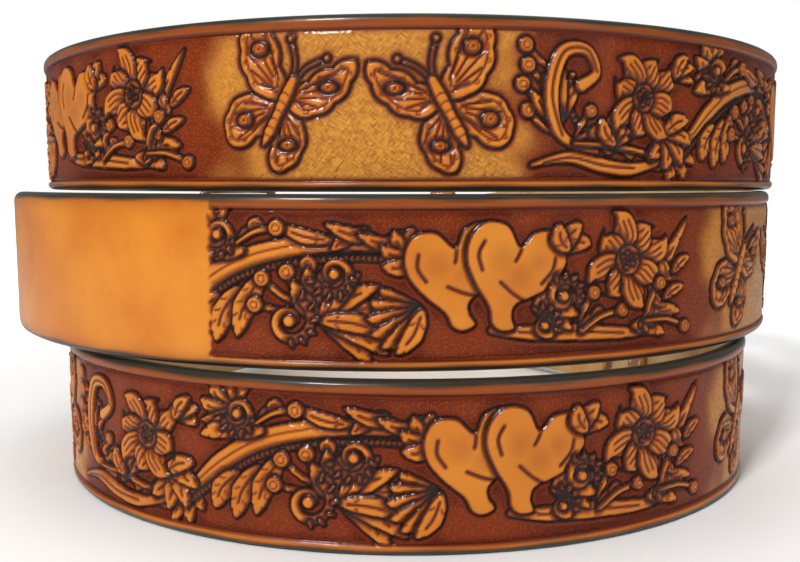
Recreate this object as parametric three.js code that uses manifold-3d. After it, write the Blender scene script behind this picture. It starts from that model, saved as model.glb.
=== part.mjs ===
// A stack of three tooled leather belts, each standing on edge and closed into a hoop.
// Millimetres, +Z up, origin at the middle of the floor outline. The -Y side is the front.
//
// Each belt is a strap whose two ends meet at the back. The buckle end is folded round the
// heel bar of a cast frame and held by two snaps, and the holed billet end is tucked inside
// the frame. The frame and its prong swing on the heel bar, the keeper slides along the
// strap, and the folded flap opens inwards once its snaps are pulled.

import * as THREE from "three";
import { mergeVertices } from "three/addons/utils/BufferGeometryUtils.js";
import Module from "manifold-3d";

const wasm = await Module();
wasm.setup();

// ---- Driving dimensions ---------------------------------------------------------------

const gap = 0.3; // least clearance between neighbouring pieces

const strap = {
  width: 44.5,
  thickness: 4.4,
  edgeChamfer: 1.2,
  sectionSpacing: 12,
};

const billet = {
  tipLength: 20, // rounded nose
  tipWidth: 9, // blunt end of the nose
  holeRadius: 2.4,
  holeCount: 5,
  firstHole: 70, // from the tip
  holeSpacing: 20,
  plainFor: 12, // narrow strap past the last hole
  taper: 30,
  tuckClearance: 0.55, // between the tucked tip and the frame over it
  tuckRun: 70, // length over which the tip gets inside the hoop's outline
};

const chape = {
  skivedThickness: 2.6,
  skivePastFlap: 4, // thinned strap beyond the flap's end
  skiveRun: 9,
  plainPastKeeper: 10, // narrow strap beyond the keeper
  taper: 30,
  flapPastSnap: 22,
  flapNose: 12,
  slotLength: 14, // prong slot, from the bar
  foldSteps: 8,
};

const frame = {
  barRadius: 2.1,
  barClearance: 0.55, // between the bar and the fold round it
  railWidth: 2.4,
  sideClearance: 0.8, // between a rail and the strap's edge
  edgeMargin: 0.05, // how far a rail stays inside the full strap's width
  reach: 37.6, // from the bar's axis to the far edge
  farWidth: 4.2,
  thickness: 3.2,
  cornerRadius: 7,
  bevel: 0.5,
};

const prong = { width: 3.4, hookWall: 2.1, boreClearance: 0.4, thickness: 2.2, overhang: 1.8, slotClearance: 1 };

const keeper = { length: 12, wall: 2, clearance: 0.6, pastSkive: 1, cornerRadius: 1.6 };

const snap = {
  pastSlot: 10, // from the end of the prong slot to the first snap
  spacing: 26,
  postRadius: 2,
  capRadius: 7.5,
  capRim: 0.8,
  capDome: 2.5,
  socketRadius: 6.2,
  socketPlate: 1.45,
  knobRadius: 3.3,
  knobClearance: 0.6,
  knobWall: 0.9,
  studRadius: 5.6,
  studBase: 0.9,
  studClearance: 0.6, // between the stud's base and the socket
  flangeRadius: 5,
  flangeHeight: 0.8,
  turns: 12, // flats round each turned piece
};

const tierGaps = [0, 0.8, 0.4]; // air under each belt
const tipToBar = 8; // from the heel bar to the billet's tip

// ---- Sizes that follow ----------------------------------------------------------------

const windowHalf = strap.width / 2 - frame.edgeMargin - frame.railWidth;
const frameHalf = windowHalf + frame.railWidth;
const endWidth = 2 * (windowHalf - frame.sideClearance); // width of both narrowed ends

// Depths below the strap's outer face, at the bar.
const foldInner = frame.barRadius + frame.barClearance;
const foldOuter = foldInner + chape.skivedThickness;
const barDepth = foldOuter;
const flapFace = barDepth + foldInner; // the face that looks at the strap
const flapBack = flapFace + chape.skivedThickness;
const tuckDepth = barDepth + frame.thickness / 2 + billet.tuckClearance;

// Distances from the bar, back along the strap.
const postHoleRadius = snap.postRadius + gap;
const firstSnap = chape.slotLength + snap.pastSlot;
const snapsAt = [firstSnap, firstSnap + snap.spacing];
const flapLength = snapsAt[1] + chape.flapPastSnap;
const skivedFor = flapLength + chape.skivePastFlap;
const keeperAt = skivedFor + chape.skiveRun + keeper.pastSkive + keeper.length / 2;
const chapeNarrowFor = keeperAt + keeper.length / 2 + chape.plainPastKeeper;

// Distance from the tip.
const billetNarrowFor = billet.firstHole + (billet.holeCount - 1) * billet.holeSpacing + billet.plainFor;

// Each hoop's outer face in plan: two half ovals that share their widest line.
const degree = Math.PI / 180;
const hoops = [
  { name: "bottom", centre: [2.2, -33.6], halfWidth: 113.7, frontDepth: 99.6, backDepth: 163.6, foldAngle: 150 },
  { name: "middle", centre: [-2.9, -2.8], halfWidth: 134.4, frontDepth: 124.4, backDepth: 126.8, foldAngle: 208.4 },
  { name: "top", centre: [3.7, 34.2], halfWidth: 139.9, frontDepth: 153.2, backDepth: 84, foldAngle: 141 },
];

// ---- Helpers --------------------------------------------------------------------------

const up = new THREE.Vector3(0, 0, 1);
const smooth = (t) => THREE.MathUtils.smoothstep(t, 0, 1);

function toSolid(geometry, matrix = new THREE.Matrix4()) {
  const bare = geometry.clone();
  bare.deleteAttribute("normal");
  bare.deleteAttribute("uv");
  const merged = mergeVertices(bare.applyMatrix4(matrix), 1e-4);
  const triVerts = new Uint32Array(merged.index.array);
  return new wasm.Manifold(
    new wasm.Mesh({ numProp: 3, vertProperties: merged.attributes.position.array, triVerts }),
  );
}

function toGeometry(solid) {
  const made = solid.getMesh();
  return new THREE.BufferGeometry()
    .setAttribute("position", new THREE.BufferAttribute(made.vertProperties, 3))
    .setIndex(new THREE.BufferAttribute(made.triVerts, 1));
}

function cut(geometry, cutters) {
  const solid = cutters.reduce((left, cutter) => left.subtract(cutter), toSolid(geometry));
  return toGeometry(solid);
}

// A closed skin over sections that all have the same number of corners.
function loft(sections) {
  const corners = sections[0].length;
  const index = [];
  for (let k = 0; k + 1 < sections.length; k++) {
    for (let i = 0; i < corners; i++) {
      const here = k * corners + i;
      const next = k * corners + ((i + 1) % corners);
      index.push(here, here + corners, next, next, here + corners, next + corners);
    }
  }
  const last = (sections.length - 1) * corners;
  for (let i = 1; i + 1 < corners; i++) {
    index.push(0, i, i + 1);
    index.push(last, last + i + 1, last + i);
  }
  return new THREE.BufferGeometry().setFromPoints(sections.flat()).setIndex(index);
}

function turned(profile) {
  return new THREE.LatheGeometry(profile.map(([r, h]) => new THREE.Vector2(r, h)), snap.turns);
}

// ---- The hoop's outline ---------------------------------------------------------------

// The outer face in plan, from just past the bar, once round, to the bar.
class HoopOutline extends THREE.Curve {
  constructor(hoop, base) {
    super();
    this.hoop = hoop;
    this.level = base + strap.width / 2;
    this.arcLengthDivisions = 1440;
  }

  getPoint(t, target = new THREE.Vector3()) {
    const { centre, halfWidth, frontDepth, backDepth, foldAngle } = this.hoop;
    const angle = (foldAngle - 360 * (1 - t)) * degree;
    const depth = Math.cos(angle) > 0 ? frontDepth : backDepth;
    return target.set(centre[0] + halfWidth * Math.sin(angle), centre[1] - depth * Math.cos(angle), this.level);
  }

  // Point, direction of travel and outward direction, at a distance before the bar.
  before(distance) {
    const u = 1 - distance / this.getLength();
    const along = this.getTangentAt(u).normalize();
    return { point: this.getPointAt(u), along, outward: new THREE.Vector3().crossVectors(along, up) };
  }
}

// A placing whose x runs along the strap, y outwards and z to make it right-handed.
function placing({ point, along, outward }, inward = 0) {
  const across = new THREE.Vector3().crossVectors(along, outward);
  const matrix = new THREE.Matrix4().makeBasis(along, outward, across);
  return matrix.setPosition(point.clone().addScaledVector(outward, -inward));
}

// The strap's cross-section: a rectangle with chamfered corners, below the face at point.
function section(point, outward, thickness, width) {
  const chamfer = Math.min(strap.edgeChamfer, thickness * 0.3);
  const half = width / 2;
  const corners = [
    [0, half - chamfer],
    [chamfer, half],
    [thickness - chamfer, half],
    [thickness, half - chamfer],
  ];
  const lower = corners.map(([depth, height]) => [depth, -height]).reverse();
  return [...corners, ...lower].map(([depth, height]) =>
    point.clone().addScaledVector(outward, -depth).addScaledVector(up, height),
  );
}

// A nose of elliptical outline at the end of a strip.
const nose = (distance, length, blunt, full) =>
  distance >= length ? full : blunt + (full - blunt) * Math.sqrt(1 - (1 - distance / length) ** 2);

function strapWidthAt(fromTip, fromBar) {
  const widen = (distance, narrowFor, taper) =>
    THREE.MathUtils.lerp(endWidth, strap.width, smooth((distance - narrowFor) / taper));
  const side = Math.min(
    widen(fromTip, billetNarrowFor, billet.taper),
    widen(fromBar, chapeNarrowFor, chape.taper),
  );
  return Math.min(side, nose(fromTip, billet.tipLength, billet.tipWidth, side));
}

// ---- Leather pieces -------------------------------------------------------------------

// The slot for the prong, cut through strap, fold and flap.
function slotCutter(outline) {
  const halfWidth = prong.width / 2 + prong.slotClearance;
  const depth = flapBack + 2 * gap;
  const length = chape.slotLength + foldOuter + gap;
  const plug = new THREE.BoxGeometry(length, 2 * depth, 2 * halfWidth);
  plug.translate(length / 2 - chape.slotLength, 0, 0);
  const round = new THREE.CylinderGeometry(halfWidth, halfWidth, 2 * depth, 12);
  round.translate(-chape.slotLength, 0, 0);
  const place = placing(outline.before(0));
  return toSolid(plug, place).add(toSolid(round, place));
}

function roundHole(outline, fromBar, radius, inward) {
  const depth = 2 * (strap.thickness + chape.skivedThickness);
  return toSolid(new THREE.CylinderGeometry(radius, radius, depth, 12), placing(outline.before(fromBar), inward));
}

function strapGeometry(outline) {
  const length = outline.getLength() - tipToBar;
  const tuckAt = (fromTip) => tuckDepth * smooth(1 - fromTip / billet.tuckRun);
  const thicknessAt = (fromBar) =>
    THREE.MathUtils.lerp(chape.skivedThickness, strap.thickness, smooth((fromBar - skivedFor) / chape.skiveRun));

  const noseSteps = [0, 0.04, 0.15, 0.35, 0.65, 1].map((share) => share * billet.tipLength);
  const bodySteps = Math.ceil((length - billet.tipLength) / strap.sectionSpacing);
  const body = Array.from(
    { length: bodySteps },
    (_, k) => billet.tipLength + ((k + 1) * (length - billet.tipLength)) / bodySteps,
  );
  const sections = [...noseSteps, ...body].map((fromTip) => {
    const fromBar = length - fromTip;
    const { point, outward } = outline.before(fromBar);
    point.addScaledVector(outward, -tuckAt(fromTip));
    return section(point, outward, thicknessAt(fromBar), strapWidthAt(fromTip, fromBar));
  });

  const end = outline.before(0);
  const axis = end.point.clone().addScaledVector(end.outward, -barDepth);
  for (let k = 1; k <= chape.foldSteps; k++) {
    const turn = (k / chape.foldSteps) * Math.PI;
    const out = end.outward.clone().multiplyScalar(Math.cos(turn)).addScaledVector(end.along, Math.sin(turn));
    const point = axis.clone().addScaledVector(out, foldOuter);
    sections.push(section(point, out, chape.skivedThickness, endWidth));
  }

  const holes = Array.from({ length: billet.holeCount }, (_, k) => {
    const fromTip = billet.firstHole + k * billet.holeSpacing;
    return roundHole(outline, length - fromTip, billet.holeRadius, strap.thickness / 2);
  });
  const posts = snapsAt.map((fromBar) => roundHole(outline, fromBar, postHoleRadius, 0));
  return cut(loft(sections), [...holes, ...posts, slotCutter(outline)]);
}

function flapGeometry(outline) {
  const steps = [0, 0.2, 0.4, 0.6, 0.8, 1].map((share) => gap + share * (flapLength - chape.flapNose - gap));
  const noseSteps = [0.35, 0.65, 0.85, 0.96, 1].map((share) => flapLength - chape.flapNose * (1 - share));
  const sections = [...steps, ...noseSteps].map((fromBar) => {
    const { point, outward } = outline.before(fromBar);
    point.addScaledVector(outward, -flapBack);
    const width = nose(flapLength - fromBar, chape.flapNose, billet.tipWidth, endWidth);
    return section(point, outward.clone().negate(), chape.skivedThickness, width);
  });
  const posts = snapsAt.map((fromBar) => roundHole(outline, fromBar, postHoleRadius, flapBack));
  return cut(loft(sections), [...posts, slotCutter(outline)]);
}

function keeperGeometry() {
  const innerHeight = endWidth + 2 * keeper.clearance;
  const innerDepth = strap.thickness + 2 * keeper.clearance;
  const loop = roundedRectangle(
    new THREE.Shape(),
    innerDepth + 2 * keeper.wall,
    innerHeight + 2 * keeper.wall,
    keeper.cornerRadius,
  );
  loop.holes.push(roundedRectangle(new THREE.Path(), innerDepth, innerHeight, keeper.cornerRadius / 2));
  const geometry = new THREE.ExtrudeGeometry(loop, { depth: keeper.length, bevelEnabled: false, curveSegments: 3 });
  geometry.translate(0, 0, -keeper.length / 2);
  return geometry.rotateY(Math.PI / 2).rotateX(Math.PI / 2);
}

function roundedRectangle(path, width, height, radius) {
  const [x, y] = [width / 2 - radius, height / 2 - radius];
  const quarter = Math.PI / 2;
  path.absarc(x, y, radius, 0, quarter);
  path.absarc(-x, y, radius, quarter, 2 * quarter);
  path.absarc(-x, -y, radius, 2 * quarter, 3 * quarter);
  path.absarc(x, -y, radius, 3 * quarter, 4 * quarter);
  path.closePath();
  return path;
}

// ---- Buckle ---------------------------------------------------------------------------

// Drawn with x along the strap and y across it, then turned so that y looks outwards.
function frameGeometry() {
  const outer = frame.cornerRadius;
  const inner = outer - frame.railWidth;
  const far = frame.reach;
  const near = far - frame.farWidth;
  const rail = new THREE.Shape();
  rail.moveTo(0, -frameHalf);
  rail.absarc(far - outer, -frameHalf + outer, outer, -Math.PI / 2, 0);
  rail.absarc(far - outer, frameHalf - outer, outer, 0, Math.PI / 2);
  rail.lineTo(0, frameHalf);
  rail.lineTo(0, windowHalf);
  rail.absarc(near - inner, windowHalf - inner, inner, Math.PI / 2, 0, true);
  rail.absarc(near - inner, -windowHalf + inner, inner, 0, -Math.PI / 2, true);
  rail.lineTo(0, -windowHalf);
  const flat = new THREE.ExtrudeGeometry(rail, {
    depth: frame.thickness - 2 * frame.bevel,
    bevelSize: frame.bevel,
    bevelOffset: -frame.bevel,
    bevelThickness: frame.bevel,
    bevelSegments: 1,
    curveSegments: 5,
  });
  flat.translate(0, 0, frame.bevel - frame.thickness / 2).rotateX(-Math.PI / 2);
  const bar = new THREE.CylinderGeometry(frame.barRadius, frame.barRadius, 2 * frameHalf, 16);
  return toGeometry(toSolid(flat).add(toSolid(bar.rotateX(Math.PI / 2))));
}

function prongGeometry() {
  const bore = frame.barRadius + prong.boreClearance;
  const hook = bore + prong.hookWall;
  const rest = frame.thickness / 2 + gap;
  const tip = frame.reach + prong.overhang;
  const blade = new THREE.Shape([
    new THREE.Vector2(0, hook),
    new THREE.Vector2(0, bore),
    new THREE.Vector2(hook - prong.hookWall / 2, -bore / 3),
    new THREE.Vector2(hook + prong.thickness, rest - gap),
    new THREE.Vector2(frame.reach - frame.farWidth - 1, rest),
    new THREE.Vector2(tip - 1, rest),
    new THREE.Vector2(tip, rest + prong.thickness / 2),
    new THREE.Vector2(tip - 1.2, rest + prong.thickness),
    new THREE.Vector2(hook * 2, hook),
  ]);
  const across = { depth: prong.width, bevelEnabled: false };
  const bladeGeometry = new THREE.ExtrudeGeometry(blade, across).translate(0, 0, -prong.width / 2);
  const ring = new THREE.CylinderGeometry(hook, hook, prong.width, 16).rotateX(Math.PI / 2);
  const hole = new THREE.CylinderGeometry(bore, bore, 2 * prong.width, 16).rotateX(Math.PI / 2);
  return toGeometry(toSolid(bladeGeometry).add(toSolid(ring)).subtract(toSolid(hole)));
}

// ---- Snaps, as heights above the strap's outer face -------------------------------------

// Flat pieces sit closer on the hoop's hollow side than on its rounded side.
const outerSeat = gap / 2;
const innerSeat = outerSeat + 0.3;
const socketTop = -chape.skivedThickness - innerSeat;
const plateFoot = socketTop - snap.socketPlate;
const studFoot = -flapFace + outerSeat;
const studTop = studFoot + snap.studBase;
const socketFoot = studTop + snap.studClearance;
const knobTop = plateFoot - gap;
const flangeTop = -flapBack - innerSeat;

const snapPieces = {
  snap_cap: () =>
    turned([
      [0, plateFoot + gap],
      [snap.postRadius, plateFoot + gap],
      [snap.postRadius, outerSeat],
      [snap.capRadius, outerSeat],
      [snap.capRadius, outerSeat + snap.capRim],
      [snap.capRadius * 0.8, outerSeat + snap.capRim + 0.62 * (snap.capDome - snap.capRim)],
      [snap.capRadius * 0.42, outerSeat + 0.93 * snap.capDome],
      [0, outerSeat + snap.capDome],
    ]),
  snap_socket: () =>
    turned([
      [postHoleRadius, plateFoot],
      [snap.knobRadius + snap.knobClearance, plateFoot],
      [snap.knobRadius + snap.knobClearance, socketFoot],
      [snap.socketRadius - 0.6, socketFoot],
      [snap.socketRadius, socketFoot + 0.6],
      [snap.socketRadius, socketTop],
      [postHoleRadius, socketTop],
      [postHoleRadius, plateFoot],
    ]),
  snap_stud: () =>
    turned([
      [postHoleRadius, studFoot],
      [snap.studRadius, studFoot],
      [snap.studRadius, studTop],
      [snap.knobRadius - 0.4, studTop],
      [snap.knobRadius, (studTop + knobTop) / 2],
      [snap.knobRadius - 0.5, knobTop],
      [0, knobTop],
      [0, knobTop - snap.knobWall],
      [postHoleRadius, knobTop - snap.knobWall],
      [postHoleRadius, studFoot],
    ]),
  snap_post: () =>
    turned([
      [0, flangeTop - snap.flangeHeight],
      [snap.flangeRadius, flangeTop - snap.flangeHeight],
      [snap.flangeRadius, flangeTop],
      [snap.postRadius, flangeTop],
      [snap.postRadius, knobTop - snap.knobWall - gap],
      [0, knobTop - snap.knobWall - gap],
    ]),
};

// ---- Assembly -------------------------------------------------------------------------

const leather = { color: 0xa85c1e, roughness: 0.45, metalness: 0 };
const nickel = { color: 0xb9b4a8, roughness: 0.3, metalness: 1 };

function mesh(name, geometry, finish, matrix) {
  const made = new THREE.Mesh(geometry, new THREE.MeshStandardMaterial(finish));
  made.name = name;
  if (matrix) made.applyMatrix4(matrix);
  return made;
}

function belt(hoop, base) {
  const outline = new HoopOutline(hoop, base);
  const group = new THREE.Group();
  const add = (piece, geometry, finish, matrix) =>
    group.add(mesh(`${hoop.name}_${piece}`, geometry, finish, matrix));

  add("strap", strapGeometry(outline), leather);
  add("flap", flapGeometry(outline), leather);
  add("keeper", keeperGeometry(), leather, placing(outline.before(keeperAt), strap.thickness / 2));

  const bar = placing(outline.before(0), barDepth);
  add("buckle_frame", frameGeometry(), nickel, bar);
  add("prong", prongGeometry(), nickel, bar);
  snapsAt.forEach((fromBar, k) => {
    const seat = placing(outline.before(fromBar));
    for (const [piece, make] of Object.entries(snapPieces)) add(`${piece}_${k + 1}`, make(), nickel, seat);
  });
  return group;
}

const stack = new THREE.Group();
let base = 0;
hoops.forEach((hoop, tier) => {
  base += tierGaps[tier];
  stack.add(belt(hoop, base));
  base += strap.width;
});
const middle = new THREE.Box3().setFromObject(stack).getCenter(new THREE.Vector3());
stack.position.set(-middle.x, -middle.y, 0);

export default stack;
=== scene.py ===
"""A stack of three carved leather belts, rolled into hoops, not buckled, and standing on edge.

Each belt is a strap of vegetable-tanned leather with its pattern cut and stamped into it, dyed,
antiqued and lacquered. Lengths are written in millimetres and turned to metres in mesh making.
"""
import logging
import math
from dataclasses import dataclass, field
from enum import Enum
from typing import Callable, Sequence

import bmesh
import bpy
import numpy as np
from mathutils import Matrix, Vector
from mathutils.kdtree import KDTree


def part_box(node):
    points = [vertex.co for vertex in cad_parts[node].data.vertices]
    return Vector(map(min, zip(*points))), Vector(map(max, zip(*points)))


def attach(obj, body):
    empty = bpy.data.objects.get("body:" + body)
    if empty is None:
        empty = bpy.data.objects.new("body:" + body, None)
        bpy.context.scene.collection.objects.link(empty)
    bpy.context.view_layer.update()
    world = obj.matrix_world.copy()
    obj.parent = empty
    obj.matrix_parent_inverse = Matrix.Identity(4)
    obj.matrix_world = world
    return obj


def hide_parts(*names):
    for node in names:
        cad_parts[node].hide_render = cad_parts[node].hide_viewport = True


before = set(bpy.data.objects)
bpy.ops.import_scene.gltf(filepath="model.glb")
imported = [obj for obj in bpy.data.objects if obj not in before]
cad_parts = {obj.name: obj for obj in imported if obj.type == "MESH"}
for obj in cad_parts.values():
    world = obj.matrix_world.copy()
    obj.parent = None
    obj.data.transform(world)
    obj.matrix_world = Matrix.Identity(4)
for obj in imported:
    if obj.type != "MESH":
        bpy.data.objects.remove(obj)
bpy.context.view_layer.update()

MM = 0.001
UP = np.array([0.0, 0.0, 1.0])
log = logging.getLogger("belts")


class Layer(Enum):
    """Which face of a strap a mesh face belongs to."""

    GRAIN = 0
    FLESH = 1


# ---- Small helpers ----------------------------------------------------------------------


def linear(colour: str) -> tuple[float, float, float, float]:
    """Turns an sRGB hex colour into linear light.

    Args:
        colour: Six hex digits, with or without a hash.

    Returns:
        Red, green, blue and alpha in linear light.
    """
    digits = colour.lstrip("#")
    parts = [int(digits[k : k + 2], 16) / 255 for k in (0, 2, 4)]
    red, green, blue = [c / 12.92 if c <= 0.04045 else ((c + 0.055) / 1.055) ** 2.4 for c in parts]
    return red, green, blue, 1.0


def smooth(value: np.ndarray | float) -> np.ndarray | float:
    """Eases from 0 to 1, flat outside that range."""
    t = np.clip(value, 0.0, 1.0)
    return t * t * (3 - 2 * t)


def spline(
    a: np.ndarray, b: np.ndarray, c: np.ndarray, d: np.ndarray, t: np.ndarray | float
) -> np.ndarray:
    """Goes from b to c, at a share t of the way, on the smooth line through four neighbours."""
    return 0.5 * (2 * b + (c - a) * t + (2 * a - 5 * b + 4 * c - d) * t**2 + (3 * b - a - 3 * c + d) * t**3)


def curve(points: Sequence[tuple[float, float]], steps: int = 8) -> np.ndarray:
    """Draws a smooth line through a few points.

    Args:
        points: The points it goes through.
        steps: Stretches between two neighbouring points.

    Returns:
        The line's points, one row each.
    """
    p = np.array([points[0], *points, points[-1]], dtype=float)
    out = []
    for k in range(1, len(p) - 2):
        for t in np.linspace(0, 1, steps, endpoint=False):
            a, b, c, d = p[k - 1 : k + 3]
            out.append(spline(a, b, c, d, t))
    out.append(p[-2])
    return np.array(out)


def ring_faces(rows: int, columns: int, around: bool, along: bool) -> np.ndarray:
    """Numbers the four-cornered faces of a grid of points.

    Args:
        rows: Points along the grid.
        columns: Points across it.
        around: Whether the columns close on themselves.
        along: Whether the rows close on themselves.

    Returns:
        Four vertex numbers for each face.
    """
    r = np.arange(rows if along else rows - 1)[:, None]
    c = np.arange(columns if around else columns - 1)[None, :]
    r2, c2 = (r + 1) % rows, (c + 1) % columns
    corners = [r * columns + c, r2 * columns + c, r2 * columns + c2, r * columns + c2]
    return np.stack(corners, axis=-1).reshape(-1, 4)


def mesh_object(name: str, points: np.ndarray, faces: list, sharp: float = 40.0) -> bpy.types.Object:
    """Makes a closed mesh object with smooth shading and outward faces.

    Args:
        name: The piece's name.
        points: Vertices in millimetres.
        faces: Vertex numbers of each face.
        sharp: Angle in degrees past which an edge stays crisp.

    Returns:
        The new object, standing at the origin.
    """
    mesh = bpy.data.meshes.new(name)
    mesh.from_pydata((points * MM).tolist(), [], faces)
    work = bmesh.new()
    work.from_mesh(mesh)
    bmesh.ops.remove_doubles(work, verts=work.verts, dist=1e-7)
    bmesh.ops.recalc_face_normals(work, faces=work.faces)
    work.to_mesh(mesh)
    work.free()
    mesh.shade_smooth()
    mesh.set_sharp_from_angle(angle=math.radians(sharp))
    made = bpy.data.objects.new(name, mesh)
    bpy.context.collection.objects.link(made)
    return made


def tube(name: str, grid: np.ndarray, along: bool = False, sharp: float = 40.0) -> bpy.types.Object:
    """Skins a stack of closed rings.

    Args:
        name: The piece's name.
        grid: Points as ring, point on ring, coordinate, in millimetres.
        along: Whether the last ring joins the first; the ends are capped if not.
        sharp: Angle in degrees past which an edge stays crisp.

    Returns:
        The new object.
    """
    rows, columns = grid.shape[:2]
    faces = ring_faces(rows, columns, True, along).tolist()
    if not along:
        faces.append(list(range(columns)))
        faces.append(list(range((rows - 1) * columns, rows * columns))[::-1])
    return mesh_object(name, grid.reshape(-1, 3), faces, sharp)


def combine(target: bpy.types.Object, other: bpy.types.Object, how: str) -> None:
    """Joins another closed solid to this one, or cuts it away, and removes it.

    Args:
        target: The piece that stays.
        other: The solid that is used up.
        how: UNION or DIFFERENCE.
    """
    modifier = target.modifiers.new("cut", "BOOLEAN")
    modifier.operation = how
    modifier.solver = "MANIFOLD"
    modifier.object = other
    result = bpy.data.meshes.new_from_object(target.evaluated_get(bpy.context.evaluated_depsgraph_get()))
    target.modifiers.remove(modifier)
    target.data = result
    bpy.data.objects.remove(other)


@dataclass(frozen=True)
class Seat:
    """A place on a belt: x along the strap, y outwards from it, z up."""

    origin: np.ndarray
    along: np.ndarray
    outward: np.ndarray

    def place(self, points: np.ndarray) -> np.ndarray:
        """Moves points given in the seat's own directions into the shared frame."""
        p = np.asarray(points, dtype=float)
        return self.origin + p[..., 0:1] * self.along + p[..., 1:2] * self.outward + p[..., 2:3] * UP


# ---- Node helper and finishes -----------------------------------------------------------


class Shader:
    """A material's node tree, with one way to add a node."""

    def __init__(self, name: str) -> None:
        """Starts an empty material with a Principled shader and an output."""
        self.material = bpy.data.materials.new(name)
        self.material.use_nodes = True
        self.tree = self.material.node_tree
        self.tree.nodes.clear()
        self.out = self.add("ShaderNodeOutputMaterial")
        self.principled = self.add("ShaderNodeBsdfPrincipled")
        self.tree.links.new(self.principled.outputs[0], self.out.inputs["Surface"])

    def add(self, kind: str, inputs: dict | None = None, **settings: object) -> bpy.types.Node:
        """Adds a node.

        Args:
            kind: The node's type name.
            inputs: Input name or number to a value, or to the socket that feeds it.
            settings: The node's own properties.

        Returns:
            The new node.
        """
        node = self.tree.nodes.new(kind)
        for key, value in settings.items():
            setattr(node, key, value)
        for key, value in (inputs or {}).items():
            if isinstance(value, bpy.types.NodeSocket):
                self.tree.links.new(value, node.inputs[key])
            else:
                node.inputs[key].default_value = value
        return node

    def surface(self, **values: object) -> None:
        """Sets or links the Principled shader's sockets, named with underscores for spaces."""
        for key, value in values.items():
            socket = self.principled.inputs[key.replace("_", " ")]
            if isinstance(value, bpy.types.NodeSocket):
                self.tree.links.new(value, socket)
            else:
                socket.default_value = value

    def ramp(self, source: bpy.types.NodeSocket, low: float, high: float) -> bpy.types.NodeSocket:
        """Spreads a narrow range of values over 0 to 1."""
        node = self.add("ShaderNodeMapRange", {0: source, 1: low, 2: high}, interpolation_type="SMOOTHSTEP")
        return node.outputs[0]

    def mix(self, share: object, first: object, second: object) -> bpy.types.NodeSocket:
        """Mixes two colours."""
        node = self.add("ShaderNodeMix", {0: share, 6: first, 7: second}, data_type="RGBA")
        return node.outputs[2]

    def math(self, how: str, *values: object) -> bpy.types.NodeSocket:
        """Works one sum out."""
        return self.add("ShaderNodeMath", dict(enumerate(values)), operation=how).outputs[0]


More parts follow.
